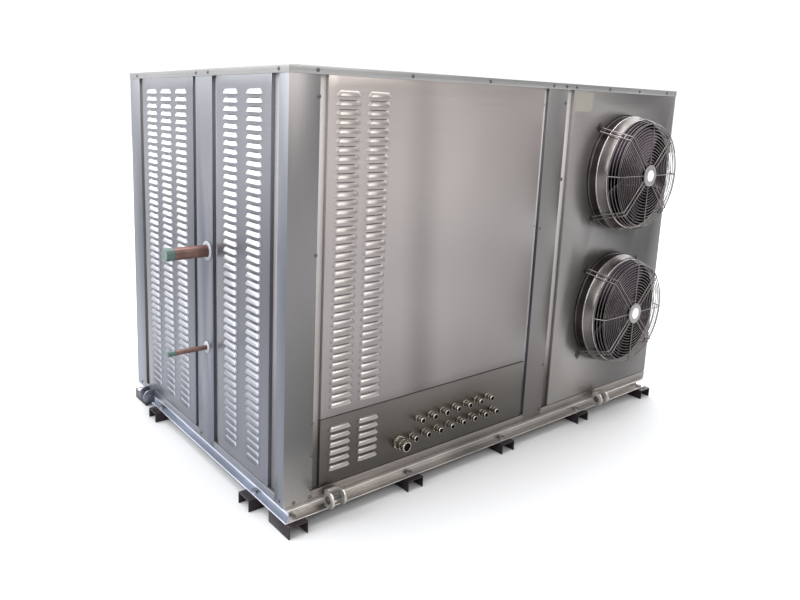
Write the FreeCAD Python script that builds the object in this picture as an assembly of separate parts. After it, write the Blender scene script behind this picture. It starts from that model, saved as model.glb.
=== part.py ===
import FreeCAD, Part

import math
import os

# Air-cooled refrigeration condensing unit in a sheet steel cabinet, on a channel base with skid feet.
# Working frame: X from the left end along the long front side, Y from the front face into the depth,
# Z up from the underside of the cabinet. finish() moves every piece so that the origin lies on the
# floor at the middle of the unit's outline.

V = FreeCAD.Vector

# Cabinet
CABINET_LENGTH = 2500.0
CABINET_DEPTH = 1500.0
CABINET_HEIGHT = 1650.0
FRAME_SHEET = 2.0
PANEL_SHEET = 1.5
SKIN_DEPTH = 16.0
REBATE_LIP = 65.0
CORNER_WIDTH = 131.0
FRONT_CORNER_RETURN = 63.0
REAR_CORNER_RETURN = 123.0
MID_POST_SHARE = 0.56
MID_POST_WIDTH = 140.0
END_POST_SHARE = 29 / 75
END_POST_WIDTH = 155.0
SILL_HEIGHT = 35.0
SEAM = 3.0
LID_FLANGE = 29.0
LID_LAP = 12.0
TOP_RAIL_LEG = 40.0

# Panels
ACCESS_PANEL_START_GAP = 35.0
ACCESS_PANEL_END_GAP = 29.0
LOWER_PANEL_TOP = 320.0
FAN_PANEL_GAP = 50.0
END_FRONT_START_GAP = 52.0
END_FRONT_END_GAP = 39.0
END_REAR_START_GAP = 30.0
END_REAR_END_GAP = 41.0

# Louvres
LOUVRE_LENGTH = 116.0
LOUVRE_RISE = 20.0
LOUVRE_REACH = 11.0
LOUVRE_TAPER = 9.0
LOUVRE_PITCH = 33.0
LOUVRE_TOP_MARGIN = 90.0
LOWER_LOUVRE_MARGIN = 46.0
LOUVRE_FOOT_MARGIN = 68.0
LOUVRE_SIDE_MARGIN = 62.0
FRONT_LOUVRE_COLUMN = 258.0
FRONT_COLUMN_PITCH = 143.0

# Base
BASE_RAIL_HEIGHT = 55.0
BASE_RAIL_FLANGE = 42.0
BASE_RAIL_SHEET = 5.0
BASE_LEDGE = 20.0
BEARER_WIDTH = 40.0
BEARER_SHEET = 4.0
FOOT_HEIGHT = 50.0
FOOT_WIDTH = 88.0
FOOT_SHEET = 5.0
FOOT_LENGTH = 150.0
FOOT_PROUD = 25.0
END_FOOT_PROUD = 35.0
FRONT_FEET = 5
END_FRONT_FOOT = 245.0
END_REAR_FOOT_SET = 282.0
ANCHOR_HOLE_RADIUS = 6.5
BOLT_HEAD_RADIUS = 15.0
BOLT_HEAD_HEIGHT = 10.0
PAN_SHEET = 2.0
PAN_MARGIN = 64.0

# Lifting lugs
LUG_GAP = 50.0
LUG_EAR = 8.0
LUG_RADIUS = 34.0
LUG_REACH = 60.0
LUG_LEVEL = 2.0
LUG_PIN_RADIUS = 10.0
LUG_PIN_CLEARANCE = 0.5
LUG_PIN_HEAD = 7.0
LUG_PIN_HEAD_RADIUS = 16.0
LUG_NOSE_SIDES = 6
LUG_PIN_SIDES = 8
FRONT_LUG_LEFT = 212.0
FRONT_LUG_RIGHT_SET = 510.0
END_LUG_SET = 200.0

# Fans
FAN_SET = 455.0
UPPER_FAN_SET = 433.0
LOWER_FAN_SHARE = 10 / 33
DRUM_RADIUS = 287.0
DRUM_MOUTH_RADIUS = 272.0
DRUM_WALL = 3.0
DRUM_LENGTH = 98.0
DRUM_STRAIGHT = 50.0
DRUM_FLANGE = 10.0
FAN_SIDES = 24
FAN_BORE_SIDES = 16
GUARD_FRONT = 158.0
GUARD_RADIUS = 262.0
GUARD_FOOT_RADIUS = 318.0
GUARD_WIRE = 4.0
GUARD_ROD = 5.0
GUARD_ROD_SPACING = 24.0
GUARD_RINGS = 5
GUARD_RING_SIDES = 14
GUARD_FIRST_RING = 78.0
GUARD_SIDE_RING = 118.0
GUARD_FOOT_LENGTH = 34.0
GUARD_FOOT_SHEET = 3.0
MOTOR_DISC_RADIUS = 53.0
MOTOR_DISC_THICKNESS = 10.0
MOTOR_SHAFT_RADIUS = 12.0
HUB_RADIUS = 62.0
HUB_FRONT = 140.0
HUB_LENGTH = 110.0
HUB_BORE_DEPTH = 70.0
SHAFT_CLEARANCE = 0.05
SHAFT_END_GAP = 2.0
BLADE_COUNT = 5
BLADE_RADIUS = 262.0
BLADE_MIDDLE = 55.0
BLADE_ROOT_CHORD = 120.0
BLADE_TIP_CHORD = 215.0
BLADE_ROOT_ANGLE = 40.0
BLADE_TIP_ANGLE = 22.0
BLADE_SWEEP = 12.0
BLADE_CAMBER = 9.0
BLADE_SHEET = 3.0

# Cable glands on the lower panel
GLAND_HEX_RADIUS = 17.5
GLAND_HEX_HEIGHT = 10.0
GLAND_NUT_RADIUS = 16.0
GLAND_NUT_HEIGHT = 32.0
LOWER_GLAND_START = 643.0
LOWER_GLAND_COUNT = 8
LOWER_GLAND_LEVEL = 130.0
UPPER_GLAND_START = 677.0
UPPER_GLAND_COUNT = 7
UPPER_GLAND_LEVEL = 204.0
GLAND_PITCH = 72.6
MAIN_GLAND_X = 569.0
MAIN_GLAND_LEVEL = 123.0
MAIN_GLAND_RADIUS = 32.0
MAIN_GLAND_FLANGE = 14.0
MAIN_GLAND_NUT_RADIUS = 28.0
MAIN_GLAND_REACH = 64.0

# Pipes
SUCTION_RADIUS = 27.0
LIQUID_RADIUS = 11.0
DISCHARGE_RADIUS = 17.5
PIPE_WALL = 1.5
SUCTION_POST_SET = 55.0
SUCTION_Z = 891.0
LIQUID_POST_SET = 63.0
LIQUID_Z = 456.0
SUCTION_STUB = 190.0
LIQUID_STUB = 183.0
STUB_INSIDE = 60.0
FITTING_SIDES = 16
PIPE_SIDES = 8
CAP_WALL = 2.0
CAP_LENGTH = 35.0
CAP_CLEARANCE = 0.05
CAP_END_GAP = 0.5
GROMMET_WIDTH = 15.0
GROMMET_THICKNESS = 4.0
GROMMET_CLEARANCE = 0.2
PIPE_HOLE_CLEARANCE = 3.0

# Inside
ACCUMULATOR_X = 330.0
ACCUMULATOR_RADIUS = 85.0
ACCUMULATOR_HEIGHT = 700.0
ACCUMULATOR_OUTLET_Z = 600.0
MOUNT_HEIGHT = 40.0
MOUNT_RADIUS = 25.0
FOOT_BAR_WIDTH = 60.0
FOOT_BAR_HEIGHT = 20.0
FOOT_BAR_LENGTH = 400.0
COMPRESSOR_SHARE = 0.2
COMPRESSOR_MOTOR_LENGTH = 360.0
COMPRESSOR_MOTOR_RADIUS = 140.0
CRANKCASE_LENGTH = 280.0
CRANKCASE_WIDTH = 260.0
CRANKCASE_HEIGHT = 268.0
HEAD_LENGTH = 110.0
HEAD_HEIGHT = 70.0
HEAD_SLOPE = 25.0
VALVE_RADIUS = 32.0
VALVE_LENGTH = 55.0
RECEIVER_X = 1000.0
RECEIVER_SET = 270.0
RECEIVER_RADIUS = 110.0
RECEIVER_HEIGHT = 700.0
VESSEL_SKIRT = 38.0
VESSEL_SKIRT_SET = 20.0
DRIER_RADIUS = 35.0
DRIER_START = 560.0
DRIER_LENGTH = 160.0
LOW_PIPE_LEVEL = 150.0
LIQUID_RISER_X = 190.0
DISCHARGE_SET = 90.0
DISCHARGE_TOP_GAP = 148.0
CONDENSATE_LEVEL = 760.0
COIL_START_GAP = 80.0
COIL_END_GAP = 100.0
COIL_DEPTH = 90.0
COIL_FOOT = 10.0
COIL_TOP_GAP = 40.0
COIL_PLATE = 3.0
HEADER_RADIUS = 16.0
HEADER_GAP = 42.0
HEADER_END = 90.0
HEADER_PITCH = 46.0
HEADER_STUB_RADIUS = 6.0
BOX_START = 480.0
BOX_LENGTH = 770.0
BOX_DEPTH = 250.0
BOX_HEIGHT = 1100.0
BOX_FRONT = 40.0
INNER_SIDES = 16

# Sizes that follow from the ones above
POST_TOP = CABINET_HEIGHT - FRAME_SHEET
PANEL_BOTTOM = SILL_HEIGHT + SEAM
PANEL_TOP = CABINET_HEIGHT - LID_FLANGE + LID_LAP
MID_POST_START = MID_POST_SHARE * CABINET_LENGTH
MID_POST_END = MID_POST_START + MID_POST_WIDTH
END_POST_START = END_POST_SHARE * CABINET_DEPTH
END_POST_END = END_POST_START + END_POST_WIDTH
ACCESS_PANEL_START = CORNER_WIDTH + ACCESS_PANEL_START_GAP
ACCESS_PANEL_END = MID_POST_START - ACCESS_PANEL_END_GAP
FAN_PANEL_START = MID_POST_END + FAN_PANEL_GAP
END_FRONT_BAY = (FRONT_CORNER_RETURN + END_FRONT_START_GAP, END_POST_START - END_FRONT_END_GAP)
END_REAR_BAY = (END_POST_END + END_REAR_START_GAP, CABINET_DEPTH - REAR_CORNER_RETURN - END_REAR_END_GAP)
LOUVRE_TOP = CABINET_HEIGHT - LOUVRE_TOP_MARGIN
LOWER_LOUVRE_TOP = LOWER_PANEL_TOP - LOWER_LOUVRE_MARGIN
FAN_X = CABINET_LENGTH - FAN_SET
SUCTION_Y = END_POST_START + SUCTION_POST_SET
LIQUID_Y = END_POST_START + LIQUID_POST_SET
RECEIVER_Y = CABINET_DEPTH - RECEIVER_SET
COMPRESSOR_START = COMPRESSOR_SHARE * CABINET_LENGTH
DISCHARGE_X = MID_POST_START - DISCHARGE_SET
DISCHARGE_TOP = POST_TOP - DISCHARGE_TOP_GAP
COIL_START = MID_POST_END + COIL_START_GAP
COIL_END = CABINET_LENGTH - COIL_END_GAP
HEADER_X = COIL_START - HEADER_GAP
END_REAR_FOOT = CABINET_DEPTH - END_REAR_FOOT_SET
FRONT_LUG_RIGHT = CABINET_LENGTH - FRONT_LUG_RIGHT_SET
END_LUG = CABINET_DEPTH - END_LUG_SET
LIP_BACK = SKIN_DEPTH + FRAME_SHEET
BASE_BOTTOM = -BASE_RAIL_HEIGHT - FOOT_HEIGHT
RAIL_LENGTH_X = CABINET_LENGTH
RAIL_LENGTH_Y = CABINET_DEPTH + 2 * BASE_LEDGE
FOOT_PITCH = (CABINET_LENGTH - FOOT_WIDTH) / (FRONT_FEET - 1)
COMPRESSOR_BASE = FOOT_BAR_HEIGHT + MOUNT_HEIGHT + PAN_SHEET
FEET_ON_LONG_SIDE = [FOOT_WIDTH / 2 + i * FOOT_PITCH for i in range(FRONT_FEET)]
FAN_LEVELS = {"upper": CABINET_HEIGHT - UPPER_FAN_SET, "lower": LOWER_FAN_SHARE * CABINET_HEIGHT}

X_MIN = -SUCTION_STUB - CAP_END_GAP - CAP_WALL
X_MAX = CABINET_LENGTH + LUG_REACH
Y_MIN = -GUARD_FRONT - MOTOR_DISC_THICKNESS
Y_MAX = CABINET_DEPTH + BASE_LEDGE + FOOT_PROUD
ORIGIN = V((X_MIN + X_MAX) / 2, (Y_MIN + Y_MAX) / 2, BASE_BOTTOM)

os.makedirs("parts", exist_ok=True)


def finish(node, *solids):
    """Move the solids of one node to the origin of the unit and write them."""
    shape = solids[0] if len(solids) == 1 else Part.makeCompound(list(solids))
    shape = shape.copy()
    shape.translate(-ORIGIN)
    shape.exportStep("parts/" + node + ".step")


def block(x0, x1, y0, y1, z0, z1):
    return Part.makeBox(x1 - x0, y1 - y0, z1 - z0, V(x0, y0, z0))


def prism(points, direction):
    """Extrude the closed outline through points."""
    return Part.Face(Part.makePolygon(points + [points[0]])).extrude(direction)


def side_point(side, along, depth, z=0.0):
    """A point given along a side of the cabinet, at a depth inward from that side's face."""
    if side == "front":
        return V(along, depth, z)
    if side == "rear":
        return V(along, CABINET_DEPTH - depth, z)
    if side == "left":
        return V(depth, along, z)
    return V(CABINET_LENGTH - depth, along, z)


def side_block(side, a0, a1, d0, d1, z0, z1):
    p = side_point(side, a0, d0)
    q = side_point(side, a1, d1)
    return block(min(p.x, q.x), max(p.x, q.x), min(p.y, q.y), max(p.y, q.y), z0, z1)


def side_bar(side, outline, a0, a1):
    """Run an outline of depth and height along a side."""
    points = [side_point(side, a0, depth, z) for depth, z in outline]
    return prism(points, side_point(side, a1, 0) - side_point(side, a0, 0))


def many_sided(centre, axis, radius, height, sides, turn=0.0):
    """A bar of a regular section, radius to its corners, standing on centre along X, Y or Z."""
    points = []
    for i in range(sides):
        a = 2 * math.pi * (i + turn) / sides
        if abs(axis.x) > 0.5:
            across = V(0, math.cos(a), math.sin(a))
        elif abs(axis.y) > 0.5:
            across = V(math.cos(a), 0, math.sin(a))
        else:
            across = V(math.cos(a), math.sin(a), 0)
        points.append(centre + across * radius)
    return prism(points, axis * height)


def hexagon(centre, axis, radius, height):
    return many_sided(centre, axis, radius, height, 6)


def over_flats(radius, sides):
    """The corner radius of a regular section whose flat sides lie at the radius."""
    return radius / math.cos(math.pi / sides)


def pipe(radius, points):
    """A pipe of many-sided section along straight runs with mitred corners."""
    start = points[0]
    bar = many_sided(start, (points[1] - start).normalize(), radius, 1.0, PIPE_SIDES, 0.5)
    ends = [f.OuterWire for f in bar.Faces if f.CenterOfMass.distanceToPoint(start) < 0.1]
    return Part.makePolygon(points).makePipeShell(ends, True, False, 1)


def round_tube(start, length, radius):
    """A round tube with an open bore, along X."""
    outer = Part.makeCylinder(radius, length, start, V(1, 0, 0))
    return outer.cut(Part.makeCylinder(radius - PIPE_WALL, length, start, V(1, 0, 0)))


def solid_from_faces(faces):
    polygons = [Part.Face(Part.makePolygon(list(f) + [f[0]])) for f in faces]
    solid = Part.Solid(Part.Shell(polygons))
    if solid.Volume < 0:
        solid.reverse()
    return solid


# Base

def base_rail(side, start, length):
    """An open channel with its web inside and its ends mitred."""
    edge = -BASE_LEDGE if side in ("front", "rear") else 0.0
    web = edge + BASE_RAIL_FLANGE
    sheet = BASE_RAIL_SHEET
    outline = [(edge, 0), (web, 0), (web, -BASE_RAIL_HEIGHT), (edge, -BASE_RAIL_HEIGHT),
               (edge, sheet - BASE_RAIL_HEIGHT), (web - sheet, sheet - BASE_RAIL_HEIGHT),
               (web - sheet, -sheet), (edge, -sheet)]
    bar = side_bar(side, outline, start, start + length)
    mitre = [side_point(side, start, edge), side_point(side, start + length, edge),
             side_point(side, start + length - BASE_RAIL_FLANGE, web),
             side_point(side, start + BASE_RAIL_FLANGE, web)]
    return bar.common(prism(mitre, V(0, 0, -BASE_RAIL_HEIGHT)))


def floor_bearer(x):
    """A channel across the unit between the long base rails."""
    inner = BASE_RAIL_FLANGE - BASE_LEDGE
    x0 = x - BEARER_WIDTH / 2
    x1 = x + BEARER_WIDTH / 2
    low = BASE_RAIL_SHEET - BASE_RAIL_HEIGHT
    outline = [(x0, 0), (x1, 0), (x1, -BEARER_SHEET), (x0 + BEARER_SHEET, -BEARER_SHEET),
               (x0 + BEARER_SHEET, low + BEARER_SHEET), (x1, low + BEARER_SHEET), (x1, low), (x0, low)]
    points = [V(x, inner, z) for x, z in outline]
    return prism(points, V(0, CABINET_DEPTH - 2 * inner, 0))


def skid_foot(side, middle, proud):
    """A short inverted channel under a base rail, open to the outside."""
    edge = -BASE_LEDGE if side in ("front", "rear") else 0.0
    start = edge - proud
    a0 = middle - FOOT_WIDTH / 2
    a1 = middle + FOOT_WIDTH / 2
    top = -BASE_RAIL_HEIGHT
    sheet = FOOT_SHEET
    outline = [(a0, BASE_BOTTOM), (a0, top), (a1, top), (a1, BASE_BOTTOM), (a1 - sheet, BASE_BOTTOM),
               (a1 - sheet, top - sheet), (a0 + sheet, top - sheet), (a0 + sheet, BASE_BOTTOM)]
    points = [side_point(side, along, start, z) for along, z in outline]
    return prism(points, side_point(side, 0, FOOT_LENGTH) - side_point(side, 0, 0))


def build_base():
    finish("base_rail_front", base_rail("front", 0.0, RAIL_LENGTH_X))
    finish("base_rail_rear", base_rail("rear", 0.0, RAIL_LENGTH_X))
    finish("base_rail_left", base_rail("left", -BASE_LEDGE, RAIL_LENGTH_Y))
    finish("base_rail_right", base_rail("right", -BASE_LEDGE, RAIL_LENGTH_Y))
    finish("floor_bearers", *[floor_bearer(x) for x in FEET_ON_LONG_SIDE[1:-1]])

    feet = []
    anchor_feet = []
    bolts = []
    bolt_level = BASE_RAIL_SHEET - BASE_RAIL_HEIGHT
    for side in ("front", "rear"):
        for x in FEET_ON_LONG_SIDE:
            foot = skid_foot(side, x, FOOT_PROUD)
            if x in (FEET_ON_LONG_SIDE[0], FEET_ON_LONG_SIDE[-1]):
                hole = side_point(side, x, -BASE_LEDGE - FOOT_PROUD / 2, BASE_BOTTOM)
                anchor_feet.append(foot.cut(Part.makeCylinder(ANCHOR_HOLE_RADIUS, FOOT_HEIGHT, hole)))
            else:
                feet.append(foot)
            bolts.append(hexagon(side_point(side, x, 0, bolt_level), V(0, 0, 1), BOLT_HEAD_RADIUS,
                                 BOLT_HEAD_HEIGHT))
    for side in ("left", "right"):
        for y in (END_FRONT_FOOT, END_REAR_FOOT):
            feet.append(skid_foot(side, y, END_FOOT_PROUD))
            bolts.append(hexagon(side_point(side, y, BASE_LEDGE, bolt_level), V(0, 0, 1),
                                 BOLT_HEAD_RADIUS, BOLT_HEAD_HEIGHT))
    finish("anchor_feet", *anchor_feet)
    finish("skid_feet", *feet)
    finish("foot_bolts", *bolts)

    inner = PAN_MARGIN
    finish("floor_pan", block(inner, CABINET_LENGTH - inner, inner, CABINET_DEPTH - inner, 0, PAN_SHEET))


def lifting_lug(side, middle):
    """A clevis: a back plate on the rail's edge with two round-nosed ears bored for the pin."""
    edge = -BASE_LEDGE if side in ("front", "rear") else 0.0
    width = LUG_GAP / 2 + LUG_EAR
    nose = edge - LUG_REACH + LUG_RADIUS
    low = LUG_LEVEL - LUG_RADIUS
    high = LUG_LEVEL + LUG_RADIUS
    plan = [(-width, edge), (-width, edge - LUG_REACH), (-LUG_GAP / 2, edge - LUG_REACH),
            (-LUG_GAP / 2, edge - LUG_EAR), (LUG_GAP / 2, edge - LUG_EAR),
            (LUG_GAP / 2, edge - LUG_REACH), (width, edge - LUG_REACH), (width, edge)]
    body = prism([side_point(side, middle + a, d, low) for a, d in plan], V(0, 0, 2 * LUG_RADIUS))
    outline = [side_point(side, middle - width, edge, low), side_point(side, middle - width, edge, high)]
    for i in range(LUG_NOSE_SIDES + 1):
        a = math.pi * i / LUG_NOSE_SIDES
        depth = nose - LUG_RADIUS * math.sin(a)
        outline.append(side_point(side, middle - width, depth, LUG_LEVEL + LUG_RADIUS * math.cos(a)))
    along = side_point(side, 1, 0) - side_point(side, 0, 0)
    start = side_point(side, middle - width, nose, LUG_LEVEL)
    bore = many_sided(start, along, LUG_PIN_RADIUS + LUG_PIN_CLEARANCE, 2 * width, LUG_PIN_SIDES)
    return body.common(prism(outline, along * (2 * width))).cut(bore)


def lug_pin(side, middle):
    """A headed pin through both ears."""
    edge = -BASE_LEDGE if side in ("front", "rear") else 0.0
    width = LUG_GAP / 2 + LUG_EAR
    nose = edge - LUG_REACH + LUG_RADIUS
    along = side_point(side, 1, 0) - side_point(side, 0, 0)
    seat = side_point(side, middle - width, nose, LUG_LEVEL)
    head = many_sided(seat, -along, LUG_PIN_HEAD_RADIUS, LUG_PIN_HEAD, LUG_PIN_SIDES)
    return head.fuse(many_sided(seat, along, LUG_PIN_RADIUS, 2 * width + LUG_PIN_HEAD, LUG_PIN_SIDES))


def build_lugs():
    places = [("front", FRONT_LUG_LEFT), ("front", FRONT_LUG_RIGHT), ("left", END_LUG), ("right", END_LUG)]
    finish("lifting_lugs", *[lifting_lug(*place) for place in places])
    finish("lug_pins", *[lug_pin(*place) for place in places])


# Frame

def post_outline(face_start, face_end):
    """The folded section of a post along one side: a face, two returns and two rebate lips."""
    s = FRAME_SHEET
    left = [(face_start - REBATE_LIP, SKIN_DEPTH), (face_start, SKIN_DEPTH), (face_start, 0)]
    right = [(face_end, 0), (face_end, SKIN_DEPTH), (face_end + REBATE_LIP, SKIN_DEPTH)]
    back = [(face_end + REBATE_LIP, LIP_BACK), (face_end - s, LIP_BACK), (face_end - s, s),
            (face_start + s, s), (face_start + s, LIP_BACK), (face_start - REBATE_LIP, LIP_BACK)]
    return left + right + back


def mid_post(side, start, width):
    points = [side_point(side, a, d) for a, d in post_outline(start, start + width)]
    return prism(points, V(0, 0, POST_TOP))


def corner_outline(width, side_width):
    """The folded section of a corner post, from the corner as origin."""
    s = FRAME_SHEET
    return [(width + REBATE_LIP, SKIN_DEPTH), (width, SKIN_DEPTH), (width, 0), (0, 0), (0, side_width),
            (SKIN_DEPTH, side_width), (SKIN_DEPTH, side_width + REBATE_LIP),
            (LIP_BACK, side_width + REBATE_LIP), (LIP_BACK, side_width - s), (s, side_width - s),
            (s, s), (width - s, s), (width - s, LIP_BACK), (width + REBATE_LIP, LIP_BACK)]


def fan_corner_outline(width, side_width):
    """The corner post behind the fan panel: its front face is set back by the panel's depth."""
    s = FRAME_SHEET
    return [(width, SKIN_DEPTH), (0, SKIN_DEPTH), (0, side_width), (SKIN_DEPTH, side_width),
            (SKIN_DEPTH, side_width + REBATE_LIP), (LIP_BACK, side_width + REBATE_LIP),
            (LIP_BACK, side_width - s), (s, side_width - s), (s, LIP_BACK), (width, LIP_BACK)]


def corner_post(side, right_end, outline):
    """Stand a corner section on the front or rear side, at the left or right end."""
    points = []
    for along, depth in outline:
        x = CABINET_LENGTH - along if right_end else along
        points.append(side_point(side, x, depth))
    return prism(points, V(0, 0, POST_TOP))


def bored_end_post():
    """The middle post of the left end, with the two pipe holes."""
    post = mid_post("left", END_POST_START, END_POST_WIDTH)
    for y, z, radius in ((SUCTION_Y, SUCTION_Z, SUCTION_RADIUS), (LIQUID_Y, LIQUID_Z, LIQUID_RADIUS)):
        hole_radius = over_flats(radius + PIPE_HOLE_CLEARANCE, FITTING_SIDES)
        post = post.cut(many_sided(V(0, y, z), V(1, 0, 0), hole_radius, LIP_BACK, FITTING_SIDES))
    return post


def bays():
    """Each side's open lengths between its posts."""
    long_bays = [(CORNER_WIDTH, MID_POST_START)]
    front_bays = long_bays + [(MID_POST_END, CABINET_LENGTH)]
    rear_bays = long_bays + [(MID_POST_END, CABINET_LENGTH - CORNER_WIDTH)]
    end_bays = [(FRONT_CORNER_RETURN, END_POST_START), (END_POST_END, CABINET_DEPTH - REAR_CORNER_RETURN)]
    return {"front": front_bays, "rear": rear_bays, "left": end_bays, "right": end_bays}


def build_frame():
    left_corner = corner_outline(CORNER_WIDTH, FRONT_CORNER_RETURN)
    rear_corner = corner_outline(CORNER_WIDTH, REAR_CORNER_RETURN)
    fan_corner = fan_corner_outline(CORNER_WIDTH, FRONT_CORNER_RETURN)
    finish("post_front_left", corner_post("front", False, left_corner))
    finish("post_front_right", corner_post("front", True, fan_corner))
    finish("post_rear_left", corner_post("rear", False, rear_corner))
    finish("post_rear_right", corner_post("rear", True, rear_corner))
    finish("post_front_mid", mid_post("front", MID_POST_START, MID_POST_WIDTH))
    finish("post_rear_mid", mid_post("rear", MID_POST_START, MID_POST_WIDTH))
    finish("post_left_mid", bored_end_post())
    finish("post_right_mid", mid_post("right", END_POST_START, END_POST_WIDTH))

    s = FRAME_SHEET
    sill = [(0, 0), (SKIN_DEPTH, 0), (SKIN_DEPTH, s), (s, s), (s, SILL_HEIGHT - s),
            (SKIN_DEPTH, SILL_HEIGHT - s), (SKIN_DEPTH, SILL_HEIGHT), (0, SILL_HEIGHT)]
    low = POST_TOP - TOP_RAIL_LEG
    top_rail = [(LIP_BACK, low), (LIP_BACK + s, low), (LIP_BACK + s, POST_TOP - s),
                (LIP_BACK + TOP_RAIL_LEG, POST_TOP - s), (LIP_BACK + TOP_RAIL_LEG, POST_TOP),
                (LIP_BACK, POST_TOP)]
    sills = []
    rails = []
    for side, spans in bays().items():
        for start, end in spans:
            sills.append(side_bar(side, sill, start, end))
            rail_end = min(end, CABINET_LENGTH - s) if side == "front" else end
            rails.append(side_bar(side, top_rail, start, rail_end))
    finish("sill_rails", *sills)
    finish("top_rails", *rails)

    outer = block(-s, CABINET_LENGTH + s, -s, CABINET_DEPTH + s, CABINET_HEIGHT - LID_FLANGE, CABINET_HEIGHT)
    inner = block(0, CABINET_LENGTH, 0, CABINET_DEPTH, 0, POST_TOP)
    finish("lid", outer.cut(inner))

    wall = (MID_POST_START + MID_POST_END - s) / 2
    rear = CABINET_DEPTH - s
    bulkhead = block(wall, wall + s, s, rear, PAN_SHEET, POST_TOP - s)
    for depth, z, radius in ((gas_header_depth(), DISCHARGE_TOP, DISCHARGE_RADIUS),
                             (liquid_header_depth(), CONDENSATE_LEVEL, LIQUID_RADIUS)):
        half = radius + PIPE_HOLE_CLEARANCE
        pipe_side = CABINET_DEPTH - depth - half
        bulkhead = bulkhead.cut(block(wall, wall + s, pipe_side, rear, z - half, z + half))
    finish("bulkhead", bulkhead)


# Panels

def tray(side, a0, a1, z0, z1):
    """A shallow pan whose face is flush with the cabinet and whose returns stand on the rebates."""
    s = PANEL_SHEET
    outer = side_block(side, a0, a1, 0, SKIN_DEPTH, z0, z1)
    return outer.cut(side_block(side, a0 + s, a1 - s, s, SKIN_DEPTH, z0 + s, z1 - s))


def wedge(side, middle, low, half, taper, rise, front, back):
    """A louvre form: a flat underside, a sloping face that rises to the sheet and two slanted ends."""
    def at(along, depth, z):
        return side_point(side, middle + along, depth, z)
    a = at(-half, back, low)
    b = at(half, back, low)
    c = at(half - taper, front, low)
    d = at(taper - half, front, low)
    e = at(half - taper, back, low + rise)
    f = at(taper - half, back, low + rise)
    return solid_from_faces([(a, b, c, d), (a, b, e, f), (c, d, f, e), (b, c, e), (a, d, f)])


def louvred(panel, side, columns, top, bottom, slots):
    """Press rows of hoods out of a panel; with slots, each hood is hollow and open below."""
    s = PANEL_SHEET
    half = LOUVRE_LENGTH / 2
    rows = int((top - bottom - LOUVRE_FOOT_MARGIN) / LOUVRE_PITCH) + 1
    hoods = []
    voids = []
    for middle in columns:
        for row in range(rows):
            low = top - row * LOUVRE_PITCH - LOUVRE_RISE / 2
            hoods.append(wedge(side, middle, low, half, LOUVRE_TAPER, LOUVRE_RISE, -LOUVRE_REACH, 0))
            if slots:
                voids.append(wedge(side, middle, low, half - s, LOUVRE_TAPER, LOUVRE_RISE,
                                   s - LOUVRE_REACH, s))
    panel = panel.fuse(hoods)
    return panel.cut(voids) if voids else panel


def column_row(bay, count):
    """Spread louvre columns over a bay between equal margins."""
    first = bay[0] + LOUVRE_SIDE_MARGIN + LOUVRE_LENGTH / 2
    last = bay[1] - LOUVRE_SIDE_MARGIN - LOUVRE_LENGTH / 2
    return [first + i * (last - first) / (count - 1) for i in range(count)]


def build_panels():
    front_columns = [FRONT_LOUVRE_COLUMN, FRONT_LOUVRE_COLUMN + FRONT_COLUMN_PITCH]
    access = tray("front", ACCESS_PANEL_START, ACCESS_PANEL_END, LOWER_PANEL_TOP + SEAM, PANEL_TOP)
    access = louvred(access, "front", front_columns, LOUVRE_TOP, LOWER_PANEL_TOP, False)
    finish("front_access_panel", access)
    lower = tray("front", ACCESS_PANEL_START, ACCESS_PANEL_END, PANEL_BOTTOM, LOWER_PANEL_TOP)
    lower = louvred(lower, "front", front_columns, LOWER_LOUVRE_TOP, PANEL_BOTTOM, True)
    finish("front_lower_panel", lower)

    fan_panel = tray("front", FAN_PANEL_START, CABINET_LENGTH, PANEL_BOTTOM, PANEL_TOP)
    for z in FAN_LEVELS.values():
        mouth_radius = over_flats(DRUM_RADIUS, FAN_SIDES)
        mouth = many_sided(V(FAN_X, 0, z), V(0, 1, 0), mouth_radius, SKIN_DEPTH, FAN_SIDES)
        fan_panel = fan_panel.cut(mouth)
    finish("fan_panel", fan_panel)

    for name, bay, count in (("front", END_FRONT_BAY, 2), ("rear", END_REAR_BAY, 3)):
        panel = tray("left", bay[0], bay[1], PANEL_BOTTOM, PANEL_TOP)
        panel = louvred(panel, "left", column_row(bay, count), LOUVRE_TOP, PANEL_BOTTOM, False)
        finish("left_panel_" + name, panel)
        finish("right_panel_" + name, tray("right", bay[0], bay[1], PANEL_BOTTOM, PANEL_TOP))
    finish("rear_access_panel", tray("rear", ACCESS_PANEL_START, ACCESS_PANEL_END, PANEL_BOTTOM, PANEL_TOP))


# Fans

def guard_leg_radius(distance):
    """The inner edge of a guard leg at a distance in front of the panel."""
    share = (GUARD_FRONT - distance) / GUARD_FRONT
    return GUARD_RADIUS + (GUARD_FOOT_RADIUS - GUARD_RADIUS) * share - GUARD_ROD


def guard_bar(z, angle, offset):
    """A wire that runs out along the guard's front and bends back to the panel."""
    inner = MOTOR_DISC_RADIUS - GUARD_ROD
    outline = [(inner, -GUARD_FRONT), (GUARD_RADIUS, -GUARD_FRONT), (GUARD_FOOT_RADIUS, 0),
               (GUARD_FOOT_RADIUS - GUARD_ROD, 0), (GUARD_RADIUS - GUARD_ROD, GUARD_ROD - GUARD_FRONT),
               (inner, GUARD_ROD - GUARD_FRONT)]
    low = offset - GUARD_ROD / 2
    bar = prism([V(radius, y, low) for radius, y in outline], V(0, 0, GUARD_ROD))
    bar.rotate(V(0, 0, 0), V(0, 1, 0), -angle)
    bar.translate(V(FAN_X, 0, z))
    return bar


def wire_ring(z, radius, front):
    """A guard ring of square wire bent in short straight lengths, its outer radius across the corners."""
    centre = V(FAN_X, -front, z)
    back = V(0, 1, 0)
    outer = many_sided(centre, back, radius, GUARD_WIRE, GUARD_RING_SIDES)
    inner = many_sided(centre, back, radius - GUARD_WIRE, GUARD_WIRE, GUARD_RING_SIDES)
    return outer.cut(inner)


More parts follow.
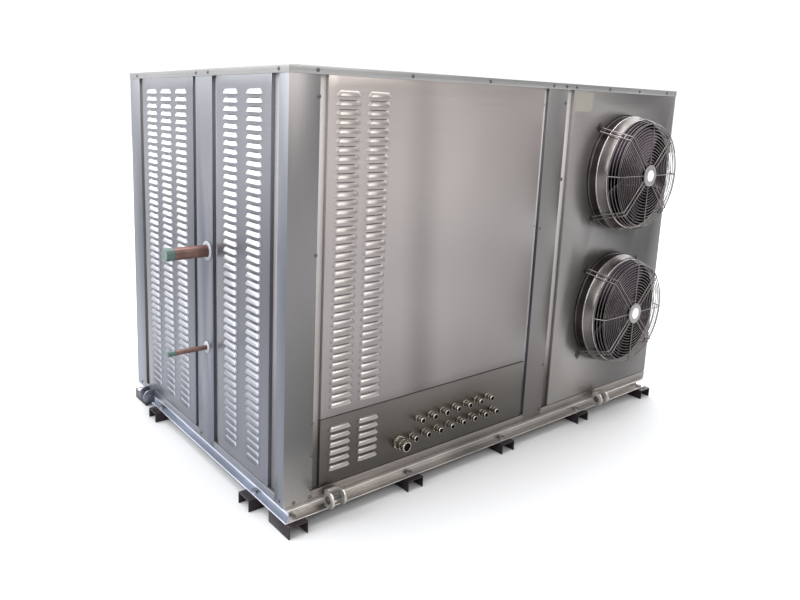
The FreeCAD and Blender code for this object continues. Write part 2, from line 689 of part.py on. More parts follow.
def fan_guard(z):
    """Concentric rings under four double rods on the diagonals and four single wires between them."""
    pieces = []
    step = (GUARD_RADIUS - GUARD_ROD - GUARD_FIRST_RING) / (GUARD_RINGS - 1)
    for i in range(GUARD_RINGS):
        pieces.append(wire_ring(z, GUARD_FIRST_RING + i * step, GUARD_FRONT - GUARD_ROD))
    pieces.append(wire_ring(z, guard_leg_radius(GUARD_SIDE_RING), GUARD_SIDE_RING))
    for quarter in range(4):
        diagonal = 45 + 90 * quarter
        for offset in (-GUARD_ROD_SPACING / 2, GUARD_ROD_SPACING / 2):
            pieces.append(guard_bar(z, diagonal, offset))
        pieces.append(guard_bar(z, 90 * quarter, 0))
        half = GUARD_ROD_SPACING / 2 + GUARD_ROD
        foot_end = GUARD_FOOT_RADIUS + GUARD_FOOT_LENGTH
        foot = block(GUARD_FOOT_RADIUS, foot_end, -GUARD_FOOT_SHEET, 0, -half, half)
        foot.rotate(V(0, 0, 0), V(0, 1, 0), -diagonal)
        foot.translate(V(FAN_X, 0, z))
        pieces.append(foot)
    return pieces


def drum_form(z, radius, mouth_radius):
    """A straight length from the panel and a length that narrows to the mouth, in short flats."""
    out = V(0, -1, 0)
    step = V(FAN_X, -DRUM_STRAIGHT, z)
    straight = many_sided(V(FAN_X, 0, z), out, radius, DRUM_STRAIGHT, FAN_SIDES)
    wide = many_sided(step, out, radius, 1.0, FAN_SIDES)
    narrow = many_sided(V(FAN_X, -DRUM_LENGTH, z), out, mouth_radius, 1.0, FAN_SIDES)
    rims = [max(bar.Faces, key=lambda f: f.CenterOfMass.y).OuterWire for bar in (wide, narrow)]
    return straight.fuse(Part.makeLoft(rims, True, True))


def fan_drum(z):
    """The round mouth of a fan, rolled in short flats, with a flange on the panel."""
    form = drum_form(z, DRUM_RADIUS, DRUM_MOUTH_RADIUS)
    flange = many_sided(V(FAN_X, 0, z), V(0, -1, 0), DRUM_RADIUS + DRUM_FLANGE, DRUM_WALL, FAN_SIDES)
    return form.fuse(flange).cut(drum_form(z, DRUM_RADIUS - DRUM_WALL, DRUM_MOUTH_RADIUS - DRUM_WALL))


def fan_motor(z):
    """The standing half of the motor: a disc on the guard's rods and the shaft that the hub turns on."""
    seat = V(FAN_X, -GUARD_FRONT, z)
    back = V(0, 1, 0)
    shaft_length = GUARD_FRONT + HUB_BORE_DEPTH - HUB_FRONT - SHAFT_END_GAP
    disc = many_sided(seat, -back, MOTOR_DISC_RADIUS, MOTOR_DISC_THICKNESS, FAN_SIDES)
    return disc.fuse(Part.makeCylinder(MOTOR_SHAFT_RADIUS, shaft_length, seat, back))


def blade_ring(radius, chord, angle, lead):
    """The corners of a cambered sheet section that lies on a cylinder of the given radius."""
    front = []
    back = []
    a = math.radians(angle)
    for share, lift in ((-0.5, 0.0), (0.0, 1.0), (0.5, 0.0)):
        for row, sheet in ((front, 0.0), (back, BLADE_SHEET)):
            lateral = share * chord * math.cos(a) - (lift * BLADE_CAMBER + sheet) * math.sin(a) + lead
            y = -BLADE_MIDDLE + share * chord * math.sin(a) + (lift * BLADE_CAMBER + sheet) * math.cos(a)
            turn = lateral / radius
            row.append(V(radius * math.cos(turn), y, radius * math.sin(turn)))
    return front + back[::-1]


def fan_blade():
    """A broad twisted sheet blade between three sections, from inside the hub to the tip circle."""
    rings = [blade_ring(HUB_RADIUS - BLADE_SHEET, BLADE_ROOT_CHORD, BLADE_ROOT_ANGLE, 0.0),
             blade_ring((HUB_RADIUS + BLADE_RADIUS) / 2, (BLADE_ROOT_CHORD + BLADE_TIP_CHORD) / 2,
                        (BLADE_ROOT_ANGLE + BLADE_TIP_ANGLE) / 2, 0.4 * BLADE_SWEEP),
             blade_ring(BLADE_RADIUS, BLADE_TIP_CHORD, BLADE_TIP_ANGLE, BLADE_SWEEP)]
    faces = []
    for low, high in zip(rings, rings[1:]):
        for i in range(6):
            j = (i + 1) % 6
            faces += [(low[i], low[j], high[j]), (low[i], high[j], high[i])]
    for ring in (rings[0], rings[-1]):
        faces += [(ring[0], ring[1], ring[4]), (ring[0], ring[4], ring[5]),
                  (ring[1], ring[2], ring[3]), (ring[1], ring[3], ring[4])]
    return solid_from_faces(faces)


def fan_rotor(z):
    """The hub with its bearing bore and its blades."""
    front = V(0, -HUB_FRONT, 0)
    back = V(0, 1, 0)
    bore_radius = over_flats(MOTOR_SHAFT_RADIUS + SHAFT_CLEARANCE, FAN_BORE_SIDES)
    bore = many_sided(front, back, bore_radius, HUB_BORE_DEPTH, FAN_BORE_SIDES)
    hub = many_sided(front, back, HUB_RADIUS, HUB_LENGTH, FAN_SIDES)
    blades = []
    for i in range(BLADE_COUNT):
        blade = fan_blade()
        blade.rotate(V(0, 0, 0), V(0, 1, 0), i * 360.0 / BLADE_COUNT)
        blades.append(blade)
    rotor = hub.fuse(blades).cut(bore)
    rotor.translate(V(FAN_X, 0, z))
    return rotor


def build_fans():
    guards = []
    for name, z in FAN_LEVELS.items():
        guards += fan_guard(z)
        finish("fan_" + name + "_rotor", fan_rotor(z))
    finish("fan_guards", *guards)
    finish("fan_drums", *[fan_drum(z) for z in FAN_LEVELS.values()])
    finish("fan_motors", *[fan_motor(z) for z in FAN_LEVELS.values()])


# Cable glands

def build_glands():
    places = [(LOWER_GLAND_START + i * GLAND_PITCH, LOWER_GLAND_LEVEL) for i in range(LOWER_GLAND_COUNT)]
    places += [(UPPER_GLAND_START + i * GLAND_PITCH, UPPER_GLAND_LEVEL) for i in range(UPPER_GLAND_COUNT)]
    out = V(0, -1, 0)
    bodies = [hexagon(V(x, 0, z), out, GLAND_HEX_RADIUS, GLAND_HEX_HEIGHT) for x, z in places]
    nuts = [hexagon(V(x, -GLAND_HEX_HEIGHT, z), out, GLAND_NUT_RADIUS, GLAND_NUT_HEIGHT) for x, z in places]
    main = V(MAIN_GLAND_X, 0, MAIN_GLAND_LEVEL)
    bodies.append(hexagon(main, out, MAIN_GLAND_RADIUS, MAIN_GLAND_FLANGE))
    nuts.append(many_sided(main + out * MAIN_GLAND_FLANGE, out, MAIN_GLAND_NUT_RADIUS,
                           MAIN_GLAND_REACH - MAIN_GLAND_FLANGE, FITTING_SIDES))
    finish("gland_bodies", *bodies)
    finish("gland_nuts", *nuts)


# Pipes and caps

def stub_cap(y, z, reach, radius):
    """A push-on cap whose inner flats grip the end of a pipe."""
    inner = over_flats(radius + CAP_CLEARANCE, FITTING_SIDES)
    outer = over_flats(radius + CAP_CLEARANCE + CAP_WALL, FITTING_SIDES)
    out = V(-1, 0, 0)
    mouth = V(CAP_LENGTH - reach, y, z)
    body = many_sided(mouth, out, outer, CAP_LENGTH + CAP_END_GAP + CAP_WALL, FITTING_SIDES)
    return body.cut(many_sided(mouth, out, inner, CAP_LENGTH + CAP_END_GAP, FITTING_SIDES))


def grommet(y, z, radius):
    """The sealing ring where a pipe leaves the post."""
    inner = over_flats(radius + GROMMET_CLEARANCE, FITTING_SIDES)
    face = V(0, y, z)
    out = V(-1, 0, 0)
    ring = many_sided(face, out, inner + GROMMET_WIDTH, GROMMET_THICKNESS, FITTING_SIDES)
    return ring.cut(many_sided(face, out, inner, GROMMET_THICKNESS, FITTING_SIDES))


def gas_header_depth():
    return LIP_BACK + COIL_DEPTH - (COIL_DEPTH - HEADER_PITCH) / 2


def liquid_header_depth():
    return gas_header_depth() - HEADER_PITCH


def build_pipes():
    accumulator_top = PAN_SHEET + ACCUMULATOR_HEIGHT
    flat = math.cos(math.pi / INNER_SIDES)
    accumulator_face = ACCUMULATOR_X + ACCUMULATOR_RADIUS * flat
    finish("pipe_stubs",
           round_tube(V(-SUCTION_STUB, SUCTION_Y, SUCTION_Z), SUCTION_STUB + STUB_INSIDE, SUCTION_RADIUS),
           round_tube(V(-LIQUID_STUB, LIQUID_Y, LIQUID_Z), LIQUID_STUB + STUB_INSIDE, LIQUID_RADIUS))
    valve_top = COMPRESSOR_BASE + 2 * COMPRESSOR_MOTOR_RADIUS + VALVE_LENGTH
    valve_x = COMPRESSOR_START + 2 * VALVE_RADIUS
    inlet = pipe(SUCTION_RADIUS, [
        V(STUB_INSIDE, SUCTION_Y, SUCTION_Z), V(ACCUMULATOR_X, SUCTION_Y, SUCTION_Z),
        V(ACCUMULATOR_X, SUCTION_Y, accumulator_top)])
    outlet = pipe(SUCTION_RADIUS, [
        V(accumulator_face, SUCTION_Y, ACCUMULATOR_OUTLET_Z), V(valve_x, SUCTION_Y, ACCUMULATOR_OUTLET_Z),
        V(valve_x, SUCTION_Y, valve_top)])
    finish("suction_line", inlet, outlet)

    gas_y = CABINET_DEPTH - gas_header_depth()
    liquid_y = CABINET_DEPTH - liquid_header_depth()
    header_face = HEADER_X - HEADER_RADIUS
    valve_end = COMPRESSOR_START + COMPRESSOR_MOTOR_LENGTH + CRANKCASE_LENGTH + VALVE_LENGTH
    discharge_low = COMPRESSOR_BASE + CRANKCASE_HEIGHT / 2
    finish("discharge_line", pipe(DISCHARGE_RADIUS, [
        V(valve_end, SUCTION_Y, discharge_low), V(DISCHARGE_X, SUCTION_Y, discharge_low),
        V(DISCHARGE_X, SUCTION_Y, DISCHARGE_TOP), V(DISCHARGE_X, gas_y, DISCHARGE_TOP),
        V(header_face, gas_y, DISCHARGE_TOP)]))
    receiver_top = PAN_SHEET + RECEIVER_HEIGHT
    finish("condensate_line", pipe(LIQUID_RADIUS, [
        V(header_face, liquid_y, CONDENSATE_LEVEL), V(RECEIVER_X, liquid_y, CONDENSATE_LEVEL),
        V(RECEIVER_X, RECEIVER_Y, CONDENSATE_LEVEL), V(RECEIVER_X, RECEIVER_Y, receiver_top)]))
    drier_end = DRIER_START + DRIER_LENGTH
    drier_seat = V(DRIER_START, RECEIVER_Y, LOW_PIPE_LEVEL)
    feed = pipe(LIQUID_RADIUS, [V(RECEIVER_X - RECEIVER_RADIUS * flat, RECEIVER_Y, LOW_PIPE_LEVEL),
                                V(drier_end, RECEIVER_Y, LOW_PIPE_LEVEL)])
    run = pipe(LIQUID_RADIUS, [
        drier_seat, V(LIQUID_RISER_X, RECEIVER_Y, LOW_PIPE_LEVEL),
        V(LIQUID_RISER_X, LIQUID_Y, LOW_PIPE_LEVEL), V(LIQUID_RISER_X, LIQUID_Y, LIQUID_Z),
        V(STUB_INSIDE, LIQUID_Y, LIQUID_Z)])
    finish("liquid_line", feed, run)
    finish("filter_drier", many_sided(drier_seat, V(1, 0, 0), DRIER_RADIUS, DRIER_LENGTH, FITTING_SIDES))

    finish("suction_cap", stub_cap(SUCTION_Y, SUCTION_Z, SUCTION_STUB, SUCTION_RADIUS))
    finish("liquid_cap", stub_cap(LIQUID_Y, LIQUID_Z, LIQUID_STUB, LIQUID_RADIUS))
    finish("pipe_grommets", grommet(SUCTION_Y, SUCTION_Z, SUCTION_RADIUS),
           grommet(LIQUID_Y, LIQUID_Z, LIQUID_RADIUS))


# Inside

def vessel(x, y, radius, height):
    """An upright pressure vessel on a foot skirt, on the floor pan."""
    base = V(x, y, PAN_SHEET)
    up = V(0, 0, 1)
    skirt = many_sided(base, up, radius - VESSEL_SKIRT_SET, VESSEL_SKIRT, INNER_SIDES)
    shell = many_sided(base + up * VESSEL_SKIRT, up, radius, height - VESSEL_SKIRT, INNER_SIDES, 0.5)
    return skirt.fuse(shell)


def build_compressor():
    bars = []
    mounts = []
    crank_start = COMPRESSOR_START + COMPRESSOR_MOTOR_LENGTH
    crank_end = crank_start + CRANKCASE_LENGTH
    bar_low = PAN_SHEET + MOUNT_HEIGHT
    half = FOOT_BAR_LENGTH / 2
    for x in (COMPRESSOR_START + FOOT_BAR_WIDTH, crank_end - FOOT_BAR_WIDTH):
        x0 = x - FOOT_BAR_WIDTH / 2
        x1 = x0 + FOOT_BAR_WIDTH
        bars.append(block(x0, x1, SUCTION_Y - half, SUCTION_Y + half, bar_low, COMPRESSOR_BASE))
        for y in (SUCTION_Y - half + MOUNT_RADIUS, SUCTION_Y + half - MOUNT_RADIUS):
            mounts.append(hexagon(V(x, y, PAN_SHEET), V(0, 0, 1), MOUNT_RADIUS, MOUNT_HEIGHT))
    finish("compressor_bars", *bars)
    finish("compressor_mounts", *mounts)

    middle = COMPRESSOR_BASE + COMPRESSOR_MOTOR_RADIUS
    motor = many_sided(V(COMPRESSOR_START, SUCTION_Y, middle), V(1, 0, 0), COMPRESSOR_MOTOR_RADIUS,
                       COMPRESSOR_MOTOR_LENGTH, INNER_SIDES)
    wide = CRANKCASE_WIDTH / 2
    top = COMPRESSOR_BASE + CRANKCASE_HEIGHT
    crankcase = block(crank_start, crank_end, SUCTION_Y - wide, SUCTION_Y + wide, COMPRESSOR_BASE, top)
    finish("compressor_body", motor.fuse(crankcase))
    heads = []
    gap = (CRANKCASE_LENGTH - 2 * HEAD_LENGTH) / 3
    for i in range(2):
        x0 = crank_start + gap + i * (HEAD_LENGTH + gap)
        outline = [(-wide, top), (wide, top), (wide - HEAD_SLOPE, top + HEAD_HEIGHT),
                   (HEAD_SLOPE - wide, top + HEAD_HEIGHT)]
        heads.append(prism([V(x0, SUCTION_Y + y, z) for y, z in outline], V(HEAD_LENGTH, 0, 0)))
    finish("compressor_heads", *heads)
    motor_top = COMPRESSOR_BASE + 2 * COMPRESSOR_MOTOR_RADIUS
    valve_x = COMPRESSOR_START + 2 * VALVE_RADIUS
    level = COMPRESSOR_BASE + CRANKCASE_HEIGHT / 2
    finish("compressor_valves",
           many_sided(V(valve_x, SUCTION_Y, motor_top), V(0, 0, 1), VALVE_RADIUS, VALVE_LENGTH, PIPE_SIDES),
           many_sided(V(crank_end, SUCTION_Y, level), V(1, 0, 0), VALVE_RADIUS, VALVE_LENGTH, PIPE_SIDES))


def build_coil():
    near = CABINET_DEPTH - LIP_BACK
    far = near - COIL_DEPTH
    top = POST_TOP - COIL_TOP_GAP
    low = PAN_SHEET + COIL_FOOT
    finish("condenser_coil", block(COIL_START, COIL_END, far + COIL_PLATE, near - COIL_PLATE, low, top))
    plates = []
    for x in (COIL_START - COIL_PLATE, COIL_END):
        plates.append(block(x, x + COIL_PLATE, far, near, PAN_SHEET, top))
    finish("coil_end_plates", *plates)
    headers = []
    for depth in (gas_header_depth(), liquid_header_depth()):
        y = CABINET_DEPTH - depth
        headers.append(many_sided(V(HEADER_X, y, HEADER_END), V(0, 0, 1), HEADER_RADIUS,
                                  POST_TOP - 2 * HEADER_END, PIPE_SIDES))
        stub_start = HEADER_X + HEADER_RADIUS
        for z in (2 * HEADER_END, POST_TOP - 2 * HEADER_END):
            headers.append(pipe(HEADER_STUB_RADIUS, [V(stub_start, y, z), V(COIL_START - COIL_PLATE, y, z)]))
    finish("coil_headers", *headers)


def build_inside():
    finish("suction_accumulator", vessel(ACCUMULATOR_X, SUCTION_Y, ACCUMULATOR_RADIUS, ACCUMULATOR_HEIGHT))
    finish("liquid_receiver", vessel(RECEIVER_X, RECEIVER_Y, RECEIVER_RADIUS, RECEIVER_HEIGHT))
    build_compressor()
    build_coil()
    s = PANEL_SHEET
    x1 = BOX_START + BOX_LENGTH
    y1 = BOX_FRONT + BOX_DEPTH
    z1 = PAN_SHEET + BOX_HEIGHT
    box = block(BOX_START, x1, BOX_FRONT, y1, PAN_SHEET, z1)
    box = box.cut(block(BOX_START + s, x1 - s, BOX_FRONT, y1 - s, PAN_SHEET + s, z1 - s))
    finish("electrical_box", box)
    finish("electrical_box_door", block(BOX_START, x1, BOX_FRONT - s, BOX_FRONT, PAN_SHEET, z1))


build_base()
build_lugs()
build_frame()
build_panels()
build_fans()
build_glands()
build_pipes()
build_inside()
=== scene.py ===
import math

import bmesh
import bpy
from mathutils import Matrix, Vector


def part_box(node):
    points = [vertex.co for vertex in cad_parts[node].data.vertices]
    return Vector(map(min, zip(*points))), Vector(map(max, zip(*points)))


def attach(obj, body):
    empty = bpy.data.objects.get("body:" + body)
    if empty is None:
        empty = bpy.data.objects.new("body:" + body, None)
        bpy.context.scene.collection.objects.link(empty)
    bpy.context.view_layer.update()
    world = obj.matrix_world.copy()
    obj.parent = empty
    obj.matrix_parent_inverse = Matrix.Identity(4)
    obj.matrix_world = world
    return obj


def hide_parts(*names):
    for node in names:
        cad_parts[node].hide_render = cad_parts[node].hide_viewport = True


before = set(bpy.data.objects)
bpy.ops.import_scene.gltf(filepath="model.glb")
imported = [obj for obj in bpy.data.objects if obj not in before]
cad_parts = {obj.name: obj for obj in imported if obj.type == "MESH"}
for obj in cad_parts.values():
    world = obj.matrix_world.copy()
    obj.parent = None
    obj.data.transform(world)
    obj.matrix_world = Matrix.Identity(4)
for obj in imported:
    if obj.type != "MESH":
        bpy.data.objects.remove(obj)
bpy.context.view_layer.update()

# A packaged condensing unit: a stainless steel cabinet on a channel base, with louvred panels on
# the left, two guarded fans on the right of the long side, and copper stubs on the left end.
# Places are in metres from the cabinet's lower front left corner: x along the long side, y into the
# depth, z up. Pieces for a side are made facing -Y about x = 0 and then set on that side.

# The cabinet, read from the frame
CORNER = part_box("post_front_left")[0]
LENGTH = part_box("post_front_right")[1].x - CORNER.x
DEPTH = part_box("post_rear_left")[1].y - CORNER.y
SIDES = {
    "front": (0.0, Vector((0, 0, 0)), Vector((1, 0, 0))),
    "rear": (math.pi, Vector((0, DEPTH, 0)), Vector((1, 0, 0))),
    "left": (-math.pi / 2, Vector((0, 0, 0)), Vector((0, 1, 0))),
    "right": (math.pi / 2, Vector((LENGTH, 0, 0)), Vector((0, 1, 0))),
}

# Points closer than this are one point
HAIR = 0.00001
# Turns a piece that was made lying on the floor to face -Y
UPRIGHT = Matrix.Rotation(math.pi / 2, 4, "X")

# Width of the softened edges, and the steps across them
SHEET_EDGE = (0.0006,)
POST_EDGE = (0.0009,)
CHANNEL_EDGE = (0.0018, 3)

# Panels and louvres
PANEL_SHEET = 0.0015
PANEL_DEPTH = 0.016
FOLD = 0.002
LOUVRE_LENGTH = 0.116
LOUVRE_RISE = 0.020
LOUVRE_REACH = 0.011
LOUVRE_PITCH = 0.033
LOUVRE_TOP = 1.56
LOUVRE_TAPER = 0.015
HOOD_FACE = 0.005
HOOD_SHEET = 0.0008
LOWER_LOUVRE_TOP = 0.274
LOUVRE_FOOT = 0.03
FRONT_COLUMNS = (0.258, 0.401)
LOUVRE_SIDE_MARGIN = 0.062
SLOT_MARGIN = 0.010
SLOT_RISE = 0.009

# Screws
SCREW_RADIUS = 0.0065
SCREW_RISE = 0.003

# Lifting lugs
LUG_GAP = 0.050
LUG_EAR = 0.008
LUG_RADIUS = 0.034
LUG_REACH = 0.060
LUG_LEVEL = 0.002
BASE_LEDGE = 0.020
PIN_RADIUS = 0.010
PIN_HEAD = 0.007
LUGS = (("front", 0.212, BASE_LEDGE), ("front", 1.990, BASE_LEDGE), ("left", 1.300, 0.0),
        ("right", 1.300, 0.0))

# Fans
FAN_X = 2.045
FAN_LEVELS = {"upper": 1.217, "lower": 0.500}
DRUM_RADIUS = 0.287
DRUM_WALL = 0.003
DRUM_MOUTH_RADIUS = 0.272
DRUM_STRAIGHT = 0.050
DRUM_LENGTH = 0.098
DRUM_FLANGE = 0.010
GUARD_FRONT = 0.158
GUARD_RADIUS = 0.262
GUARD_FOOT_RADIUS = 0.318
GUARD_WIRE = 0.0032
GUARD_ROD = 0.005
GUARD_ROD_SPACING = 0.024
GUARD_BEND = 0.016
GUARD_RINGS = 14
GUARD_FIRST_RING = 0.066
GUARD_SIDE_RINGS = (0.146, 0.132, 0.118, 0.104)
GUARD_FOOT_LENGTH = 0.030
CLIP_RADIUS = 0.274
CLIP_REACH = 0.122
RING_STEPS = 72
MOTOR_RADIUS = 0.053
MOTOR_THICKNESS = 0.010
HUB_RADIUS = 0.062
HUB_FRONT = 0.140
HUB_LENGTH = 0.110
SHAFT_RADIUS = 0.012
BLADE_COUNT = 5
BLADE_RADIUS = 0.262
BLADE_MIDDLE = 0.055
BLADE_ROOT = (0.120, 40.0)
BLADE_TIP = (0.215, 22.0)
BLADE_SWEEP = 0.012
BLADE_CAMBER = 0.009
BLADE_SHEET = 0.003

# Glands
GLAND_HEX = (0.0175, 0.010)
GLAND_NUT = (0.016, 0.032)
MAIN_GLAND_HEX = (0.032, 0.014)
MAIN_GLAND_NUT = (0.028, 0.050)
GLAND_PITCH = 0.0726
GLAND_ROWS = ((0.643, 0.130, 8), (0.677, 0.204, 7))
MAIN_GLAND = (0.569, 0.123)

# Pipe stubs
SUCTION = {"y": 0.635, "z": 0.891, "radius": 0.027, "reach": 0.190}
LIQUID = {"y": 0.643, "z": 0.456, "radius": 0.011, "reach": 0.183}
PIPE_WALL = 0.0015
STUB_INSIDE = 0.060
CAP_WALL = 0.002
CAP_LENGTH = 0.035


# Working in edit mode

def active():
    return bpy.context.active_object


def only(*objects):
    bpy.ops.object.select_all(action="DESELECT")
    for thing in objects:
        thing.select_set(True)
    bpy.context.view_layer.objects.active = objects[0]


def select_all():
    bpy.ops.mesh.select_all(action="SELECT")


def edit(thing):
    only(thing)
    bpy.ops.object.mode_set(mode="EDIT")
    select_all()


def leave_edit():
    bpy.ops.object.mode_set(mode="OBJECT")
    return active()


def weld():
    """Close the seams of the piece in edit mode, turn its faces outwards and leave edit mode."""
    select_all()
    bpy.ops.mesh.remove_doubles(threshold=HAIR)
    bpy.ops.mesh.normals_make_consistent(inside=False)
    return leave_edit()


def pick(kind, test):
    """Select the faces or edges of the piece in edit mode whose corners pass the test."""
    mesh = bmesh.from_edit_mesh(active().data)
    bpy.ops.mesh.select_mode(type=kind)
    bpy.ops.mesh.select_all(action="DESELECT")
    for part in mesh.faces if kind == "FACE" else mesh.edges:
        if test([v.co for v in part.verts]):
            part.select_set(True)
    mesh.select_flush_mode()
    bmesh.update_edit_mesh(active().data)


def extrude(step):
    bpy.ops.mesh.extrude_region_move(TRANSFORM_OT_translate={"value": step})


def move(step):
    bpy.ops.transform.translate(value=step)


def apply_modifier(thing, kind, **settings):
    only(thing)
    modifier = thing.modifiers.new(kind.lower(), kind)
    for key, value in settings.items():
        setattr(modifier, key, value)
    bpy.ops.object.modifier_apply(modifier=modifier.name)
    return thing


def soften(thing, width, segments=2):
    return apply_modifier(thing, "BEVEL", width=width, segments=segments, limit_method="ANGLE",
                          angle_limit=math.radians(35))


def on_side(side, along=0.0, height=0.0, proud=0.0):
    """The place on a side of the cabinet of a piece that was made about x = 0, facing -Y."""
    turn, start, run = SIDES[side]
    spot = CORNER + start + run * along + Vector((0, 0, height))
    return (Matrix.Translation(spot) @ Matrix.Rotation(turn, 4, "Z")
            @ Matrix.Translation((0, -proud, 0)))


def placed(thing, place):
    thing.data.transform(place)
    return thing


def copy_at(thing, place):
    twin = thing.copy()
    twin.data = thing.data.copy()
    bpy.context.collection.objects.link(twin)
    return placed(twin, place)


def joined(pieces):
    only(*pieces)
    if len(pieces) > 1:
        bpy.ops.object.join()
    return active()


def drop(thing):
    bpy.data.objects.remove(thing)


def repeated(source, places):
    """A copy of a piece at each place, joined; the piece that was copied goes."""
    thing = joined([copy_at(source, place) for place in places])
    drop(source)
    return thing


def around(count, first=0):
    """Places turned evenly about the Y axis."""
    return [Matrix.Rotation(math.radians(first + 360 * i / count), 4, "Y") for i in range(count)]


def finished(thing, name, finish, *nodes, body="root", smooth=40):
    """Name a piece, give it its finish and let it ride on its body."""
    thing.name = name
    thing.data.name = name
    thing.data.materials.clear()
    thing.data.materials.append(finish)
    only(thing)
    bpy.ops.object.shade_smooth_by_angle(angle=math.radians(smooth))
    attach(thing, body)
    if nodes:
        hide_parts(*nodes)
    return thing


def second_finish(thing, finish, test):
    """Give the faces whose middle and normal pass the test another finish."""
    thing.data.materials.append(finish)
    last = len(thing.data.materials) - 1
    for face in thing.data.polygons:
        if test(face.center, face.normal):
            face.material_index = last


def turned(outline, steps=48):
    """Turn an outline of radius and reach about the Y axis; reach is measured towards -Y."""
    bpy.ops.mesh.primitive_plane_add(size=0.001, location=(0, 0, 0))
    edit(active())
    bpy.ops.mesh.select_mode(type="VERT")
    select_all()
    bpy.ops.mesh.merge(type="CENTER")
    select_all()
    radius, reach = outline[0]
    move((radius, -reach, 0))
    for (r0, d0), (r1, d1) in zip(outline, outline[1:]):
        extrude((r1 - r0, d0 - d1, 0))
    select_all()
    bpy.ops.mesh.spin(steps=steps, angle=2 * math.pi, center=(0, 0, 0), axis=(0, 1, 0))
    return weld()


def box(size, middle):
    """A block of a size about a middle point, ready to be shaped."""
    bpy.ops.mesh.primitive_cube_add(size=1, location=(0, 0, 0))
    edit(active())
    bpy.ops.transform.resize(value=size)
    move(middle)
    return leave_edit()


def hex_bar(radius, height, start, chamfer):
    """A hexagon bar along -Y with softened corners."""
    bpy.ops.mesh.primitive_cylinder_add(vertices=6, radius=radius, depth=height, location=(0, 0, 0))
    place = Matrix.Translation((0, -start - height / 2, 0)) @ UPRIGHT
    return soften(placed(active(), place), chamfer)


# Finishes

def tone(colour):
    """A colour read as 0 to 255 on a screen, as linear values."""
    shares = [value / 255 for value in colour]
    return tuple(s / 12.92 if s < 0.04 else ((s + 0.055) / 1.055) ** 2.4 for s in shares) + (1.0,)


def label(key):
    """A socket's name, as in Low Tone for low_tone."""
    return key.replace("_", " ").title()


def new_group(name, output, kind="Float", **inputs):
    """A node group with one output; an input of three numbers is a vector, of four a colour."""
    tree = bpy.data.node_groups.new(name, "ShaderNodeTree")
    for key, value in inputs.items():
        size = len(value) if isinstance(value, tuple) else 1
        socket = tree.interface.new_socket(label(key), in_out="INPUT", socket_type="NodeSocket" + {
            1: "Float", 3: "Vector", 4: "Color"}[size])
        socket.default_value = value
    tree.interface.new_socket(output, in_out="OUTPUT", socket_type="NodeSocket" + kind)
    return tree, tree.nodes.new("NodeGroupInput").outputs, tree.nodes.new("NodeGroupOutput")


def feed(node, inputs):
    """Give a node's inputs a value each, or link them where another node's output is given."""
    for key, value in inputs.items():
        if isinstance(value, bpy.types.NodeSocket):
            node.id_data.links.new(value, node.inputs[key])
        else:
            node.inputs[key].default_value = value


def add(tree, kind, inputs=(), **settings):
    """Add a node and give its outputs."""
    node = tree.nodes.new("ShaderNode" + kind)
    for key, value in settings.items():
        setattr(node, key, value)
    feed(node, dict(inputs))
    return node.outputs


def object_place(tree):
    return add(tree, "TexCoord")["Object"]


def blended(tree, share, first, second, blend_type="MIX"):
    """Mix two colours; sockets 6, 7 and 2 are the colour ones of a mix node."""
    return add(tree, "Mix", {"Factor": share, 6: first, 7: second}, data_type="RGBA",
               blend_type=blend_type)[2]


def noise(tree, stretch, detail, roughness=0.5):
    """Noise over the piece, drawn out by a stretch."""
    place = add(tree, "VectorMath", {0: object_place(tree), 1: stretch}, operation="MULTIPLY")
    inputs = {"Vector": place["Vector"], "Scale": 1.0, "Detail": detail, "Roughness": roughness}
    return add(tree, "TexNoise", inputs)["Fac"]


def remapped(tree, value, start, end, low, high, kind="LINEAR"):
    """Turn values from start to end into ones from low to high."""
    inputs = {"Value": value, "From Min": start, "From Max": end, "To Min": low, "To Max": high}
    return add(tree, "MapRange", inputs, interpolation_type=kind)["Result"]


def ranged(tree, value, low, high):
    """Spread the middle of a noise between two values."""
    return remapped(tree, value, 0.3, 0.7, low, high)


def grain_group():
    """Fine drawn-out lines, as rolling and brushing leave them."""
    tree, given, result = new_group("brushed_grain", "Grain", stretch=(1.0, 1.0, 1.0))
    feed(result, {"Grain": noise(tree, given["Stretch"], 5.0, 0.65)})
    return tree


def level_group():
    """Three tones that run into each other with height, a painted reflection and shade that
    lightens or darkens a sheet by height.
    """
    grey = (0.5, 0.5, 0.5, 1.0)
    tree, given, result = new_group(
        "height_tone", "Tone", "Color", low_tone=grey, middle_tone=grey, high_tone=grey,
        low_level=0.1, middle_level=0.9, high_level=1.7)
    height = add(tree, "SeparateXYZ", {"Vector": object_place(tree)})["Z"]
    last = given["Low Tone"]
    for low, high in (("Low", "Middle"), ("Middle", "High")):
        share = remapped(tree, height, given[low + " Level"], given[high + " Level"], 0.0, 1.0,
                         "SMOOTHSTEP")
        last = blended(tree, share, last, given[high + " Tone"])
    feed(result, {"Tone": last})
    return tree


def smudge_group():
    """Large soft patches that lighten and darken a sheet a little."""
    tree, given, result = new_group(
        "soft_patches", "Shade", size=(1.0, 1.0, 1.0), darkest=0.9, lightest=1.05)
    patches = noise(tree, given["Size"], 2.0)
    feed(result, {"Shade": ranged(tree, patches, given["Darkest"], given["Lightest"])})
    return tree


